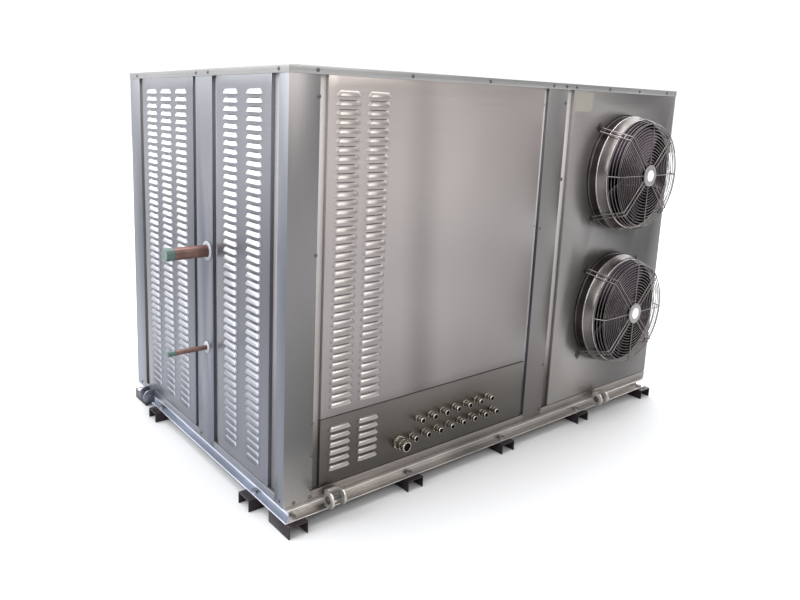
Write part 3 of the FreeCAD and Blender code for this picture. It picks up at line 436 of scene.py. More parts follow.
def band_group():
    """A soft darker band of painted reflection that stands upright at one place along X."""
    tree, given, result = new_group(
        "upright_band", "Shade", middle=0.0, half_width=0.1, darkest=0.9, darkest_high=0.9,
        lean=0.0)
    parts = add(tree, "SeparateXYZ", {"Vector": object_place(tree)})
    centre = add(tree, "Math", {0: parts["Z"], 1: given["Lean"], 2: given["Middle"]},
                 operation="MULTIPLY_ADD")["Value"]
    depth = remapped(tree, parts["Z"], 0.3, 1.7, given["Darkest"], given["Darkest High"])
    away = add(tree, "Math", {0: parts["X"], 1: centre}, operation="SUBTRACT")["Value"]
    size = add(tree, "Math", {0: away}, operation="ABSOLUTE")["Value"]
    shade = remapped(tree, size, 0.0, given["Half Width"], depth, 1.0, "SMOOTHSTEP")
    feed(result, {"Shade": shade})
    return tree


# How the brushed lines run, and the length at which a wave texture of scale 1 repeats
FLAT_GRAIN = (3.0, 3.0, 500.0)
UPRIGHT_GRAIN = (500.0, 500.0, 3.0)
WAVE_LENGTH = 0.314

GRAIN = grain_group()
LEVELS = level_group()
PATCHES = smudge_group()
BAND = band_group()


def from_group(tree, group, **values):
    """The output of a shared group in a finish, with the group's inputs set."""
    return add(tree, "Group", {label(key): value for key, value in values.items()},
               node_tree=group)[0]


def plain(name, colour, metallic, roughness, coat=0.0):
    """A finish of one colour, with the values on the shader's own sockets."""
    material = bpy.data.materials.new(name)
    material.use_nodes = True
    tree = material.node_tree
    shader = tree.nodes["Principled BSDF"]
    feed(shader, {"Base Color": tone(colour), "Metallic": metallic, "Roughness": roughness,
                  "Coat Weight": coat})
    return material, tree, shader


def multiplied(colour, shade):
    """Darken a colour by a shade."""
    return blended(colour.id_data, 1.0, colour, shade, "MULTIPLY")


def bumped(shader, height, depth):
    bump = add(shader.id_data, "Bump", {"Height": height, "Strength": 0.25, "Distance": depth})
    feed(shader, {"Normal": bump["Normal"]})


def steel(name, tones, levels=(0.15, 0.9, 1.7), stretch=FLAT_GRAIN, roughness=(0.3, 0.42),
          metallic=0.85, bands=(), patches=(0.9, 1.06)):
    """Brushed sheet: tones by height (painted reflection), soft patches, fine lines and, if given,
    upright bands of painted reflection.
    """
    material, tree, shader = plain(name, tones[1], metallic, 0.35)
    low, middle, high = [tone(colour) for colour in tones]
    height = from_group(
        tree, LEVELS, low_tone=low, middle_tone=middle, high_tone=high, low_level=levels[0],
        middle_level=levels[1], high_level=levels[2])
    grain = from_group(tree, GRAIN, stretch=stretch)
    cloud = from_group(tree, PATCHES, size=(1.7, 1.7, 0.8), darkest=patches[0], lightest=patches[1])
    colour = multiplied(height, cloud)
    colour = multiplied(colour, ranged(tree, grain, 0.94, 1.05))
    for middle, half_width, low, high, lean in bands:
        band = from_group(tree, BAND, middle=middle, half_width=half_width, darkest=low,
                          darkest_high=high, lean=lean)
        colour = multiplied(colour, band)
    feed(shader, {"Base Color": colour, "Roughness": ranged(tree, grain, *roughness)})
    bumped(shader, grain, 0.0003)
    return material


def even(tree, colour):
    """One colour as a node, for the other nodes to work on."""
    output = add(tree, "RGB")["Color"]
    output.default_value = tone(colour)
    return output


def patched(name, colour, metallic, roughness, size=12.0, shades=(0.8, 1.1), coat=0.0):
    """An even finish with soft patches, for paint, castings, rubber and plastic."""
    material, tree, shader = plain(name, colour, metallic, roughness, coat)
    cloud = from_group(tree, PATCHES, size=(size,) * 3, darkest=shades[0], lightest=shades[1])
    feed(shader, {"Base Color": multiplied(even(tree, colour), cloud)})
    bumped(shader, cloud, 0.0002)
    return material


def finned(name, colour, pitch):
    """Thin upright fins side by side along X, as on the face of a coil; the dark stripes between
    them are painted shade in the gaps.
    """
    material, tree, shader = plain(name, colour, 0.8, 0.4)
    fins = add(tree, "TexWave", {"Vector": object_place(tree), "Scale": WAVE_LENGTH / pitch},
               bands_direction="X")["Fac"]
    shade = ranged(tree, fins, 0.25, 1.0)
    feed(shader, {"Base Color": multiplied(even(tree, colour), shade)})
    bumped(shader, fins, 0.002)
    return material


# The access panel is lighter towards the top and carries two soft darker upright bands, all painted
# reflection.
FRONT_STEEL = steel(
    "front_panel_steel", ((122, 117, 116), (143, 138, 137), (184, 175, 171)),
    bands=((CORNER.x + 0.70, 0.13, 0.68, 0.84, -0.045), (CORNER.x + 1.32, 0.55, 0.84, 0.78, 0.0)))
# Lighter copies of the panel steel for the pressed hoods: a painted reflection of the sky on their
# sloping faces, on the access panel lighter towards the bottom.
FRONT_HOOD_STEEL = steel(
    "front_hood_steel", ((186, 179, 174), (166, 160, 157), (148, 143, 140)),
    levels=(0.35, 0.8, 1.5), roughness=(0.26, 0.36))
LOWER_HOOD_STEEL = steel(
    "lower_hood_steel", ((158, 153, 148), (164, 159, 154), (168, 163, 158)),
    levels=(0.12, 0.25, 0.42))
# The lower panel's darker copy of the panel steel is painted shade, the dim reflection low down.
LOWER_STEEL = steel(
    "lower_panel_steel", ((78, 74, 69), (84, 80, 75), (98, 93, 89)),
    levels=(0.12, 0.25, 0.42), patches=(0.82, 1.1))
# Lit and shaded copies of the one post steel are painted light: each lighter towards the top, the
# middle post darker, and the front left corner post pale at its foot and darkest about 0.4 m up.
POST_STEEL = steel(
    "post_steel", ((128, 122, 118), (132, 132, 133), (150, 147, 147)), stretch=UPRIGHT_GRAIN)
CORNER_STEEL = steel(
    "corner_post_steel", ((150, 147, 144), (98, 97, 96), (132, 129, 129)),
    levels=(0.05, 0.4, 1.6), stretch=UPRIGHT_GRAIN)
MIDDLE_STEEL = steel(
    "middle_post_steel", ((108, 103, 100), (113, 110, 109), (140, 136, 135)), stretch=UPRIGHT_GRAIN)
# Bluish copy for faces that look to the left: painted light, the cool light and reflection on the
# left end.
END_POST_STEEL = steel(
    "end_post_steel", ((116, 120, 130), (94, 97, 105), (138, 139, 144)), stretch=UPRIGHT_GRAIN)
# Paler, less shiny copy for the lips recessed behind the left end's panels: painted light in place
# of the shade of the recess.
END_RECESS_STEEL = steel(
    "end_recess_steel", ((122, 120, 121), (152, 149, 151), (168, 166, 167)),
    metallic=0.5, roughness=(0.5, 0.6))
# Bluish copy for the sill's faces that look to the left: painted light on the left end.
SILL_END_STEEL = steel("end_sill_steel", ((122, 126, 136),) * 3)
# The same for the long side's lips, darker towards the bottom: painted light and shade.
RECESS_STEEL = steel(
    "recess_steel", ((96, 92, 88), (172, 167, 164), (200, 196, 194)),
    levels=(0.27, 0.5, 1.6), metallic=0.35, roughness=(0.5, 0.6))
# Fan panel steel, darkest at mid height and with a broad soft darker band about the fans: painted
# shade and reflection.
FAN_STEEL = steel(
    "fan_panel_steel", ((142, 138, 135), (122, 120, 118), (168, 164, 162)),
    patches=(0.86, 1.05), bands=((CORNER.x + 2.25, 0.62, 0.30, 0.42, 0.0),))
# The left end's panels in a bluish copy, darker at mid height and lighter at the top: painted light
# from the left side.
END_STEEL = steel(
    "end_panel_steel", ((112, 114, 122), (96, 97, 103), (136, 137, 141)), patches=(0.88, 1.06))
REAR_STEEL = steel("rear_panel_steel", ((124, 122, 121), (114, 113, 113), (104, 104, 106)))
# The left end's hoods: dark at the foot and bright above, a painted reflection of the sky.
HOOD_STEEL = steel(
    "end_hood_steel", ((86, 88, 94), (160, 161, 166), (196, 196, 197)),
    levels=(0.15, 0.8, 1.2), roughness=(0.34, 0.44))
# The base channel's steel is made pale, painted light over the shade in the channel, a little
# lighter towards its ledge.
BASE_STEEL = steel(
    "base_channel_steel", ((202, 197, 192), (207, 202, 198), (214, 209, 205)),
    levels=(0.05, 0.08, 0.11), roughness=(0.28, 0.42), patches=(0.52, 1.1))
# A darker copy for the lid's upward faces: painted shade in place of the sky's reflection.
LID_TOP_STEEL = steel("lid_top_steel", ((112, 112, 114),) * 3, roughness=(0.4, 0.5))
LID_STEEL = steel("lid_steel", ((150, 149, 149), (156, 155, 154), (158, 157, 156)))
# The left end's bluish copy of the base channel steel is painted light from the left.
BASE_END_STEEL = steel(
    "base_end_steel", ((184, 189, 200), (190, 195, 206), (196, 200, 209)),
    levels=(0.05, 0.08, 0.11), patches=(0.7, 1.08))
PLATE_METAL = steel(
    "plate_metal", ((152, 147, 138), (154, 149, 140), (156, 151, 142)),
    metallic=0.5, roughness=(0.45, 0.55))
CHROME = patched("guard_chrome", (128, 121, 120), 0.9, 0.3, 9.0, (0.66, 1.05))
CLIP_STEEL = patched("guard_clip_steel", (70, 66, 66), 0.8, 0.36, 20.0, (0.7, 1.05))
# The drum's strong soft patches are partly painted reflection; the straight length near the panel
# takes a painted shade and the two beads a painted highlight.
DRUM_STEEL = patched("drum_steel", (100, 95, 93), 0.95, 0.26, 8.0, (0.5, 1.2))
DRUM_SHADE = patched("drum_straight_painted_shade", (66, 62, 60), 0.9, 0.3, 8.0, (0.5, 1.15))
DRUM_BEAD_HIGHLIGHT = patched("drum_bead_painted_highlight", (206, 200, 197), 0.9, 0.28, 8.0, (0.7, 1.05))
# The blades' dark purplish colour is painted shade, the dark inside of the drum.
BLADE_METAL = patched("blade_metal", (66, 58, 67), 0.85, 0.34, 6.0, (0.75, 1.06))
MOTOR_GREY = patched("motor_grey", (142, 139, 137), 0.7, 0.34, 20.0, (0.85, 1.05))
# A white painted highlight for the motor plate's domed middle.
DOME_HIGHLIGHT = patched("motor_dome_painted_highlight", (244, 244, 242), 0.0, 0.4, 20.0, (0.97, 1.0))
FOOT_PAINT = patched("foot_paint", (44, 36, 40), 0.5, 0.42, 15.0, (0.6, 1.1))
SCREW_STEEL = patched("screw_steel", (94, 92, 94), 0.9, 0.3, 60.0)
LUG_STEEL = patched("lug_steel", (204, 200, 194), 0.85, 0.32, 18.0, (0.7, 1.1))
NICKEL = patched("gland_nickel", (174, 167, 157), 1.0, 0.2, 40.0, (0.7, 1.05))
BLACK_SEAL = patched("black_seal", (12, 12, 13), 0.0, 0.85, 60.0)
# Soft black rubber hardly shines, so the glands read as open mouths
BLACK_SEAL.node_tree.nodes["Principled BSDF"].inputs["Specular IOR Level"].default_value = 0.1
COPPER = patched("pipe_copper", (124, 97, 90), 0.85, 0.38, 14.0, (0.62, 1.12))
GREEN_CAP = patched("green_cap", (64, 88, 82), 0.0, 0.42, 25.0, (0.75, 1.08), coat=0.2)
PALE_SEAL = patched("pale_seal", (150, 151, 156), 0.0, 0.55, 40.0, (0.9, 1.03))
RUBBER = patched("mount_rubber", (30, 30, 31), 0.0, 0.6, 50.0)
COMPRESSOR_PAINT = patched("compressor_paint", (58, 62, 66), 0.2, 0.4, 12.0)
VESSEL_PAINT = patched("vessel_paint", (44, 45, 47), 0.1, 0.4, 10.0)
BOX_PAINT = patched("box_paint", (198, 199, 196), 0.1, 0.5, 8.0, (0.92, 1.02))
GALVANISED = patched("inner_galvanised", (150, 152, 153), 0.8, 0.45, 16.0, (0.75, 1.1))
COIL_FINS = finned("coil_fins", (120, 116, 116), 0.0021)


def paint(node, finish):
    """Give a plain piece of the frame its finish."""
    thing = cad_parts[node]
    if not thing.material_slots:
        thing.data.materials.append(finish)
    for slot in thing.material_slots:
        slot.material = finish


# Folded sheet and rolled pieces, softened at their edges

def softened(node, name, finish, width, segments=2):
    thing = copy_at(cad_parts[node], Matrix.Identity(4))
    thing.parent = None
    thing.matrix_world = Matrix.Identity(4)
    edit(thing)
    bpy.ops.mesh.remove_doubles(threshold=HAIR)
    bpy.ops.mesh.dissolve_limited(angle_limit=math.radians(1))
    leave_edit()
    soften(thing, width, segments)
    low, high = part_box(node)
    for vertex in thing.data.vertices:
        vertex.co = [min(max(place, least), most)
                     for place, least, most in zip(vertex.co, low, high)]
    return finished(thing, name, finish, node)


def make_frame():
    def recess(axis):
        """A test for the lips behind the panels' edges, on the long side or on the left end; they
        take paler copies of the steel, painted light.
        """
        return lambda middle, normal: (
            normal[axis] < -0.9 and abs(middle[axis] - CORNER[axis] - PANEL_DEPTH) < PANEL_SHEET)

    # Faces that look to the left take the bluish copy: painted light from the left.
    def faces_left(middle, normal):
        return normal.x < -0.5

    # Lit and shaded copies of the post steel for some posts, painted light.
    finishes = {"front_left": CORNER_STEEL, "front_mid": MIDDLE_STEEL, "left_mid": END_POST_STEEL}
    for place in ("front_left", "front_mid", "front_right", "rear_mid", "rear_left", "rear_right",
                  "right_mid", "left_mid"):
        side, end = place.split("_")
        name = "middle_post_" + side if end == "mid" else "corner_post_" + place
        post = softened("post_" + place, name, finishes.get(place, POST_STEEL), *POST_EDGE)
        second_finish(post, RECESS_STEEL, recess(1))
        second_finish(post, END_POST_STEEL, faces_left)
        second_finish(post, END_RECESS_STEEL, recess(0))
    sill = softened("sill_rails", "sill_band", POST_STEEL, 0.0008)
    second_finish(sill, SILL_END_STEEL, faces_left)
    lid = softened("lid", "cabinet_lid", LID_STEEL, *CHANNEL_EDGE)
    # Upward faces of the lid take the darker copy: painted shade.
    second_finish(lid, LID_TOP_STEEL, lambda middle, normal: normal.z > 0.9)
    # The left end's base rail takes the bluish copy, painted light from the left.
    for side in SIDES:
        softened("base_rail_" + side, "base_channel_" + side,
                 BASE_END_STEEL if side == "left" else BASE_STEEL, *CHANNEL_EDGE)
    softened("skid_feet", "skid_channel_feet", FOOT_PAINT, 0.0022, 3)
    softened("anchor_feet", "bored_corner_feet", FOOT_PAINT, 0.0012)
    for node, name, finish in (
            ("right_panel_front", "right_end_panel_front", END_STEEL),
            ("right_panel_rear", "right_end_panel_rear", END_STEEL),
            ("rear_access_panel", "rear_cover_panel", REAR_STEEL),
            ("fan_panel", "fan_side_panel", FAN_STEEL)):
        softened(node, name, finish, *SHEET_EDGE)


# Louvred panels

def hood():
    """One pressed hood: it swells towards its cut lower lip and runs out at both ends."""
    bpy.ops.mesh.primitive_grid_add(x_subdivisions=5, y_subdivisions=3, size=2, location=(0, 0, 0))
    thing = active()
    lengths = (-1.0, -0.88, -0.68, 0.68, 0.88, 1.0)
    swells = (0.0, 0.60, 1.0, 1.0, 0.60, 0.0)
    drops = (0.0, 0.22, 0.6, 1.0)
    rises = (0.0, 0.56, 0.84, 1.0)
    for vertex in thing.data.vertices:
        i = round((vertex.co.x + 1) * 2.5)
        j = round((1 - vertex.co.y) * 1.5)
        half = LOUVRE_LENGTH / 2 - LOUVRE_TAPER * (1 - drops[j]) ** 1.5
        vertex.co = (lengths[i] * half, -LOUVRE_REACH * swells[i] * rises[j],
                     LOUVRE_RISE * (1 - drops[j]))
    return thing


def louvre_rows(top, bottom):
    """The lower edges of the hoods of one column, from the top down."""
    rows = []
    low = top - LOUVRE_RISE / 2
    while low > bottom:
        rows.append(low)
        low -= LOUVRE_PITCH
    return rows


def hood_field(columns, rows):
    """Repeat a hood down its column, and the column across the panel."""
    field = apply_modifier(hood(), "SOLIDIFY", thickness=HOOD_SHEET, offset=-1)
    placed(field, Matrix.Translation((columns[0], 0, rows[0])))
    for count, step in ((len(rows), (0, 0, -LOUVRE_PITCH)),
                        (len(columns), (columns[1] - columns[0], 0, 0))):
        apply_modifier(field, "ARRAY", count=count, use_relative_offset=False,
                       use_constant_offset=True, constant_offset_displace=step)
    return field


def slotted_tray(width, low, high, columns, rows):
    """A shallow pan about x = 0 with a slot behind every hood."""
    bpy.ops.mesh.primitive_plane_add(size=1, location=(0, 0, 0))
    edit(active())
    bpy.ops.transform.resize(value=(width, high - low, 1))
    edit(placed(leave_edit(), Matrix.Translation((0, 0, (low + high) / 2)) @ UPRIGHT))
    half = LOUVRE_LENGTH / 2 - SLOT_MARGIN
    for middle in columns:
        for x in (middle - half, middle + half):
            select_all()
            bpy.ops.mesh.bisect(plane_co=(x, 0, 0), plane_no=(1, 0, 0))
    for row in rows:
        for z in (row, row + SLOT_RISE):
            select_all()
            bpy.ops.mesh.bisect(plane_co=(0, 0, z), plane_no=(0, 0, 1))

    def in_slot(points):
        x = sum(p.x for p in points) / len(points)
        z = sum(p.z for p in points) / len(points)
        return (any(abs(x - middle) < half for middle in columns)
                and any(row < z < row + SLOT_RISE for row in rows))

    pick("FACE", in_slot)
    bpy.ops.mesh.delete(type="FACE")

    def on_rim(points):
        return (all(abs(abs(p.x) - width / 2) < HAIR for p in points)
                or all(abs(p.z - low) < HAIR for p in points)
                or all(abs(p.z - high) < HAIR for p in points))

    pick("EDGE", on_rim)
    extrude((0, PANEL_DEPTH, 0))
    pick("EDGE", lambda points: on_rim(points) and all(p.y < HAIR for p in points))
    bpy.ops.mesh.bevel(offset=FOLD, segments=2, affect="EDGES")
    select_all()
    bpy.ops.mesh.normals_make_consistent(inside=False)
    thing = leave_edit()
    outward = sum(p.area * p.normal.y for p in thing.data.polygons)
    return apply_modifier(thing, "SOLIDIFY", thickness=PANEL_SHEET, offset=-1 if outward < 0 else 1)


def louvred_panel(node, name, side, finish, hood_finish, columns, top):
    """A tray with hoods; columns gives the middles of the rows, or how many to spread over it."""
    low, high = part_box(node)
    along, across = (0, 1) if side == "front" else (1, 0)
    start = low[along] - CORNER[along]
    end = high[along] - CORNER[along]
    middle = (start + end) / 2
    if isinstance(columns, int):
        first = start + LOUVRE_SIDE_MARGIN + LOUVRE_LENGTH / 2
        last = end - LOUVRE_SIDE_MARGIN - LOUVRE_LENGTH / 2
        columns = [first + i * (last - first) / (columns - 1) for i in range(columns)]
    columns = [c - middle for c in columns]
    bottom = low.z - CORNER.z
    rows = louvre_rows(top, bottom + LOUVRE_FOOT)
    tray = slotted_tray(end - start, bottom, high.z - CORNER.z, columns, rows)
    thing = placed(joined([tray, hood_field(columns, rows)]), on_side(side, middle))
    finished(thing, name, finish, node, smooth=62)
    # The pressed part of a hood, without its run-out at the top and the ends, takes the lighter
    # hood finish: a painted reflection.
    second_finish(thing, hood_finish,
                  lambda place, normal: place[across] < CORNER[across] - HOOD_FACE)


def make_louvred_panels():
    louvred_panel("front_access_panel", "louvred_access_panel", "front", FRONT_STEEL,
                  FRONT_HOOD_STEEL, FRONT_COLUMNS, LOUVRE_TOP)
    louvred_panel("front_lower_panel", "louvred_lower_panel", "front", LOWER_STEEL,
                  LOWER_HOOD_STEEL, FRONT_COLUMNS, LOWER_LOUVRE_TOP)
    for node, count in (("left_panel_front", 2), ("left_panel_rear", 3)):
        louvred_panel(node, node.replace("panel", "end_louvred_panel"), "left", END_STEEL,
                      HOOD_STEEL, count, LOUVRE_TOP)


# Fans

def make_drum():
    """The mouth of a fan: flange, straight length, bead, narrowing length and rolled lip."""
    r = DRUM_RADIUS
    w = DRUM_WALL
    m = DRUM_MOUTH_RADIUS
    step = DRUM_STRAIGHT
    end = DRUM_LENGTH
    outline = [
        (r - w, 0.0), (r + DRUM_FLANGE, 0.0), (r + DRUM_FLANGE, w), (r + 0.004, w),
        (r + 0.001, 0.006), (r, 0.012), (r, step - 0.007), (r + 0.0035, step - 0.005),
        (r + 0.0045, step - 0.002), (r + 0.0035, step + 0.001), (r - 0.001, step + 0.003),
        (m + 0.001, end - 0.007), (m + 0.0035, end - 0.005), (m + 0.004, end - 0.002),
        (m + 0.002, end), (m - w, end), (m - w - 0.0015, end - 0.002), (m - w, end - 0.006),
        (r - w, step), (r - w, 0.0)]
    return turned(outline, 96)


def wire_ring(radius, reach):
    bpy.ops.mesh.primitive_circle_add(vertices=6, radius=GUARD_WIRE / 2, location=(0, 0, 0))
    edit(active())
    move((radius, -reach, 0))
    bpy.ops.mesh.spin(steps=RING_STEPS, angle=2 * math.pi, center=(0, 0, 0), axis=(0, 1, 0))
    return weld()


def bent_rod(offset, end=0.0):
    """A rod along the guard's front that bends and comes back to a distance from the panel."""
    half = GUARD_ROD / 2
    reach = GUARD_FRONT - half
    slope = GUARD_FOOT_RADIUS - GUARD_RADIUS
    lean = math.atan2(reach, slope)
    tangent = GUARD_BEND * math.tan(lean / 2)
    start = MOTOR_RADIUS - 0.006
    leg = math.hypot(slope, reach) * (1 - end / reach) - tangent - 0.002
    bpy.ops.mesh.primitive_circle_add(vertices=8, radius=half, fill_type="NGON",
                                      location=(0, 0, 0), rotation=(0, math.pi / 2, 0))
    thing = active()
    bpy.ops.object.transform_apply(rotation=True)
    edit(thing)
    move((start, -reach, offset))
    bend = GUARD_RADIUS - half - tangent
    extrude((bend - start, 0, 0))
    bpy.ops.mesh.spin(steps=6, angle=-lean, center=(bend, GUARD_BEND - reach, offset),
                      axis=(0, 0, 1))
    extrude((math.cos(lean) * leg, math.sin(lean) * leg, 0))
    return weld()


def guard_foot():
    """The clips of a rod pair: a bolted plate with a tab at its end, and one below the bend."""
    half = GUARD_ROD_SPACING / 2 + GUARD_ROD
    inner = GUARD_FOOT_RADIUS - 0.004
    plate = box((GUARD_FOOT_LENGTH, 0.003, 2 * half), (inner + GUARD_FOOT_LENGTH / 2, -0.0015, 0))
    tab = box((0.006, 0.006, 2 * half - 0.004), (inner, -0.0045, 0))
    clip = box((0.005, 0.008, 2 * half), (CLIP_RADIUS, -CLIP_REACH, 0))
    bolt = placed(hex_bar(0.0065, 0.005, 0.003, 0.0008),
                  Matrix.Translation((GUARD_FOOT_RADIUS + 0.012, 0, 0)))
    return joined([soften(plate, 0.0008), soften(tab, 0.0018, 3), bolt, soften(clip, 0.0014)])


def make_guard():
    """Fine rings under four double rods on the diagonals and four single rods between them."""
    pieces = []
    step = (GUARD_RADIUS - 0.006 - GUARD_FIRST_RING) / (GUARD_RINGS - 1)
    level = GUARD_FRONT - GUARD_ROD - GUARD_WIRE / 2
    for i in range(GUARD_RINGS):
        pieces.append(wire_ring(GUARD_FIRST_RING + i * step, level))
    for reach in GUARD_SIDE_RINGS:
        share = (GUARD_FRONT - reach) / GUARD_FRONT
        rod_radius = GUARD_RADIUS + (GUARD_FOOT_RADIUS - GUARD_RADIUS) * share
        pieces.append(wire_ring(rod_radius - GUARD_ROD - GUARD_WIRE / 2, reach))
    single = bent_rod(0.0, GUARD_SIDE_RINGS[-1] - GUARD_WIRE)
    pair = joined([bent_rod(GUARD_ROD_SPACING / 2), bent_rod(-GUARD_ROD_SPACING / 2), guard_foot()])
    return joined(pieces + [repeated(single, around(4)), repeated(pair, around(4, 45))])


def make_motor():
    """The motor's round front plate with a domed middle, and the shaft behind it."""
    front = GUARD_FRONT + MOTOR_THICKNESS
    back = HUB_FRONT - 0.068
    return turned([
        (0, front), (0.018, front - 0.0006), (0.024, front - 0.002), (0.028, front - 0.004),
        (0.040, front - 0.004), (0.046, front - 0.003), (MOTOR_RADIUS - 0.002, front - 0.004),
        (MOTOR_RADIUS, front - 0.006), (MOTOR_RADIUS, GUARD_FRONT), (SHAFT_RADIUS, GUARD_FRONT),
        (SHAFT_RADIUS, back), (0, back)])


def blade_point(u, v):
    """A point of the blade: u runs along the chord from -0.5 to 0.5, v from the hub to the tip."""
    root = HUB_RADIUS - BLADE_SHEET
    radius = root + (BLADE_RADIUS - root) * v
    chord = BLADE_ROOT[0] + (BLADE_TIP[0] - BLADE_ROOT[0]) * v
    angle = math.radians(BLADE_ROOT[1] + (BLADE_TIP[1] - BLADE_ROOT[1]) * v)
    lift = BLADE_CAMBER * (1 - 4 * u * u)
    lead = BLADE_SWEEP * v * (0.6 + 0.4 * v)
    lateral = u * chord * math.cos(angle) - lift * math.sin(angle) + lead
    y = -BLADE_MIDDLE + u * chord * math.sin(angle) + lift * math.cos(angle)
    turn = lateral / radius
    return Vector((radius * math.cos(turn), y, radius * math.sin(turn)))


def make_blade():
    """A twisted, cambered sheet with rounded outer corners."""
    bpy.ops.mesh.primitive_grid_add(
        x_subdivisions=14, y_subdivisions=14, size=1, location=(0, 0, 0))
    thing = active()
    corner = 0.16
    trim = 0.09
    for vertex in thing.data.vertices:
        u = vertex.co.x
        v = vertex.co.y + 0.5
        over = max(0.0, abs(u) - (0.5 - corner)) / corner
        vertex.co = blade_point(u, v * (1 - trim * over ** 2 * v))
    return soften(apply_modifier(thing, "SOLIDIFY", thickness=BLADE_SHEET, offset=0), 0.0007)


def make_rotor():
    """The hub with a rounded front edge and its blades."""
    bore = SHAFT_RADIUS + 0.0004
    front = HUB_FRONT
    back = HUB_FRONT - HUB_LENGTH
    web = front - 0.060
    r = HUB_RADIUS
    hub = turned([
        (bore, front), (r - 0.010, front), (r - 0.004, front - 0.002), (r - 0.001, front - 0.006),
        (r, front - 0.012), (r, back), (r - 0.004, back), (r - 0.004, web), (bore, web),
        (bore, front)])
    return joined([hub, repeated(make_blade(), around(BLADE_COUNT))])


def fan_distance(place):
    """How far a point lies from the axis of the nearer fan."""
    return min(math.hypot(place.x - CORNER.x - FAN_X, place.z - CORNER.z - z)
               for z in FAN_LEVELS.values())


def make_fans():
    places = {name: on_side("front", FAN_X, z) for name, z in FAN_LEVELS.items()}

    def on_bead(middle, normal):
        """The two rolled beads, which stand out from the drum's wall and take a painted highlight.
        """
        return any(
            abs(CORNER.y - middle.y - reach + 0.002) < width and fan_distance(middle) > radius
            for reach, width, radius in (
                (DRUM_STRAIGHT, 0.004, DRUM_RADIUS + 0.0015),
                (DRUM_LENGTH, 0.003, DRUM_MOUTH_RADIUS + 0.002)))

    drums = finished(repeated(make_drum(), places.values()), "fan_mouth_drums", DRUM_STEEL,
                     "fan_drums", smooth=50)
    # The straight length near the panel takes a painted shade.
    second_finish(drums, DRUM_SHADE,
                  lambda middle, normal: middle.y > CORNER.y - DRUM_STRAIGHT + 0.008)
    second_finish(drums, DRUM_BEAD_HIGHLIGHT, on_bead)
    guards = finished(repeated(make_guard(), places.values()), "fan_wire_guards", CHROME,
                      "fan_guards", smooth=62)
    second_finish(guards, CLIP_STEEL, lambda middle, normal: middle.y > CORNER.y - 0.009)
    motors = finished(repeated(make_motor(), places.values()), "fan_motor_plates", MOTOR_GREY,
                      "fan_motors")
    # The domed middle of the motor plate takes a painted highlight.
    second_finish(motors, DOME_HIGHLIGHT, lambda middle, normal: (
        fan_distance(middle) < 0.026 and middle.y < CORNER.y - GUARD_FRONT))
    rotor = make_rotor()
    for name, place in places.items():
        finished(copy_at(rotor, place), "fan_bladed_rotor_" + name, BLADE_METAL,
                 "fan_" + name + "_rotor", body=name + "_rotor", smooth=35)
    drop(rotor)


# Cable glands

def gland_set(hex_radius, hex_height, radius, height):
    """The body, the dome nut and the sealed end of one gland, standing on y = 0."""
    body = hex_bar(hex_radius, hex_height, 0, 0.0012)
    neck = turned([
        (0, hex_height), (hex_radius * 0.78, hex_height), (hex_radius * 0.78, hex_height + 0.003),
        (0, hex_height + 0.003)], 24)
    start = hex_height + 0.0025
    end = hex_height + height
    nut = hex_bar(radius, height * 0.5, start, 0.0012)
    dome = turned([
        (0, start), (radius * 0.86, start + height * 0.45), (radius * 0.84, end - 0.004),
        (radius * 0.80, end - 0.001), (radius * 0.74, end), (radius * 0.66, end),
        (radius * 0.62, end - 0.003), (radius * 0.62, end - 0.007), (0, end - 0.007)], 24)
    seal = turned([
        (0, end - 0.0068), (radius * 0.61, end - 0.0068), (radius * 0.61, end - 0.002),
        (radius * 0.56, end - 0.0015), (radius * 0.50, end - 0.003), (radius * 0.46, end - 0.006),
        (0, end - 0.0062)], 24)
    return joined([body, neck]), joined([nut, dome]), seal


def make_glands():
    places = [on_side("front", x + i * GLAND_PITCH, z)
              for x, z, count in GLAND_ROWS for i in range(count)]
    small = gland_set(*GLAND_HEX, *GLAND_NUT)
    large = gland_set(*MAIN_GLAND_HEX, *MAIN_GLAND_NUT)
    for part, name, finish, *nodes in (
            (0, "gland_hex_bodies", NICKEL, "gland_bodies"),
            (1, "gland_dome_nuts", NICKEL, "gland_nuts"), (2, "gland_seals", BLACK_SEAL)):
        pieces = [repeated(small[part], places),
                  repeated(large[part], [on_side("front", *MAIN_GLAND)])]
        finished(joined(pieces), name, finish, *nodes, smooth=35)


# Pipe stubs

def round_piece(outline, pipe):
    """A turned piece about a pipe's axis, on the left end."""
    return placed(turned(outline, 40), on_side("left", pipe["y"], pipe["z"]))


def make_stub(pipe):
    outer = pipe["radius"]
    inner = outer - PIPE_WALL
    end = pipe["reach"]
    return round_piece([
        (inner, end), (outer - 0.0004, end), (outer, end - 0.0006), (outer, -STUB_INSIDE),
        (inner, -STUB_INSIDE), (inner, end)], pipe)


def make_cap(pipe, name, node):
    """A push-on cap with a beaded mouth and a slightly domed end."""
    inner = pipe["radius"] + 0.00005
    outer = inner + CAP_WALL
    mouth = pipe["reach"] - CAP_LENGTH
    end = pipe["reach"] + 0.0005 + CAP_WALL
    round_off = min(0.004, outer * 0.3)
    inside = pipe["reach"] + 0.0004
    outline = [
        (inner, mouth), (outer - 0.0006, mouth), (outer, mouth + 0.0008), (outer, mouth + 0.004),
        (outer - 0.0005, mouth + 0.0048), (outer - 0.0005, end - round_off),
        (outer - round_off * 0.35, end - round_off * 0.35), (outer - round_off, end - 0.0004),
        (outer * 0.5, end - 0.0004), (outer * 0.45, end - 0.0012), (0, end - 0.0012), (0, inside),
        (inner, inside), (inner, mouth)]
    finished(round_piece(outline, pipe), name, GREEN_CAP, node, body=node, smooth=45)


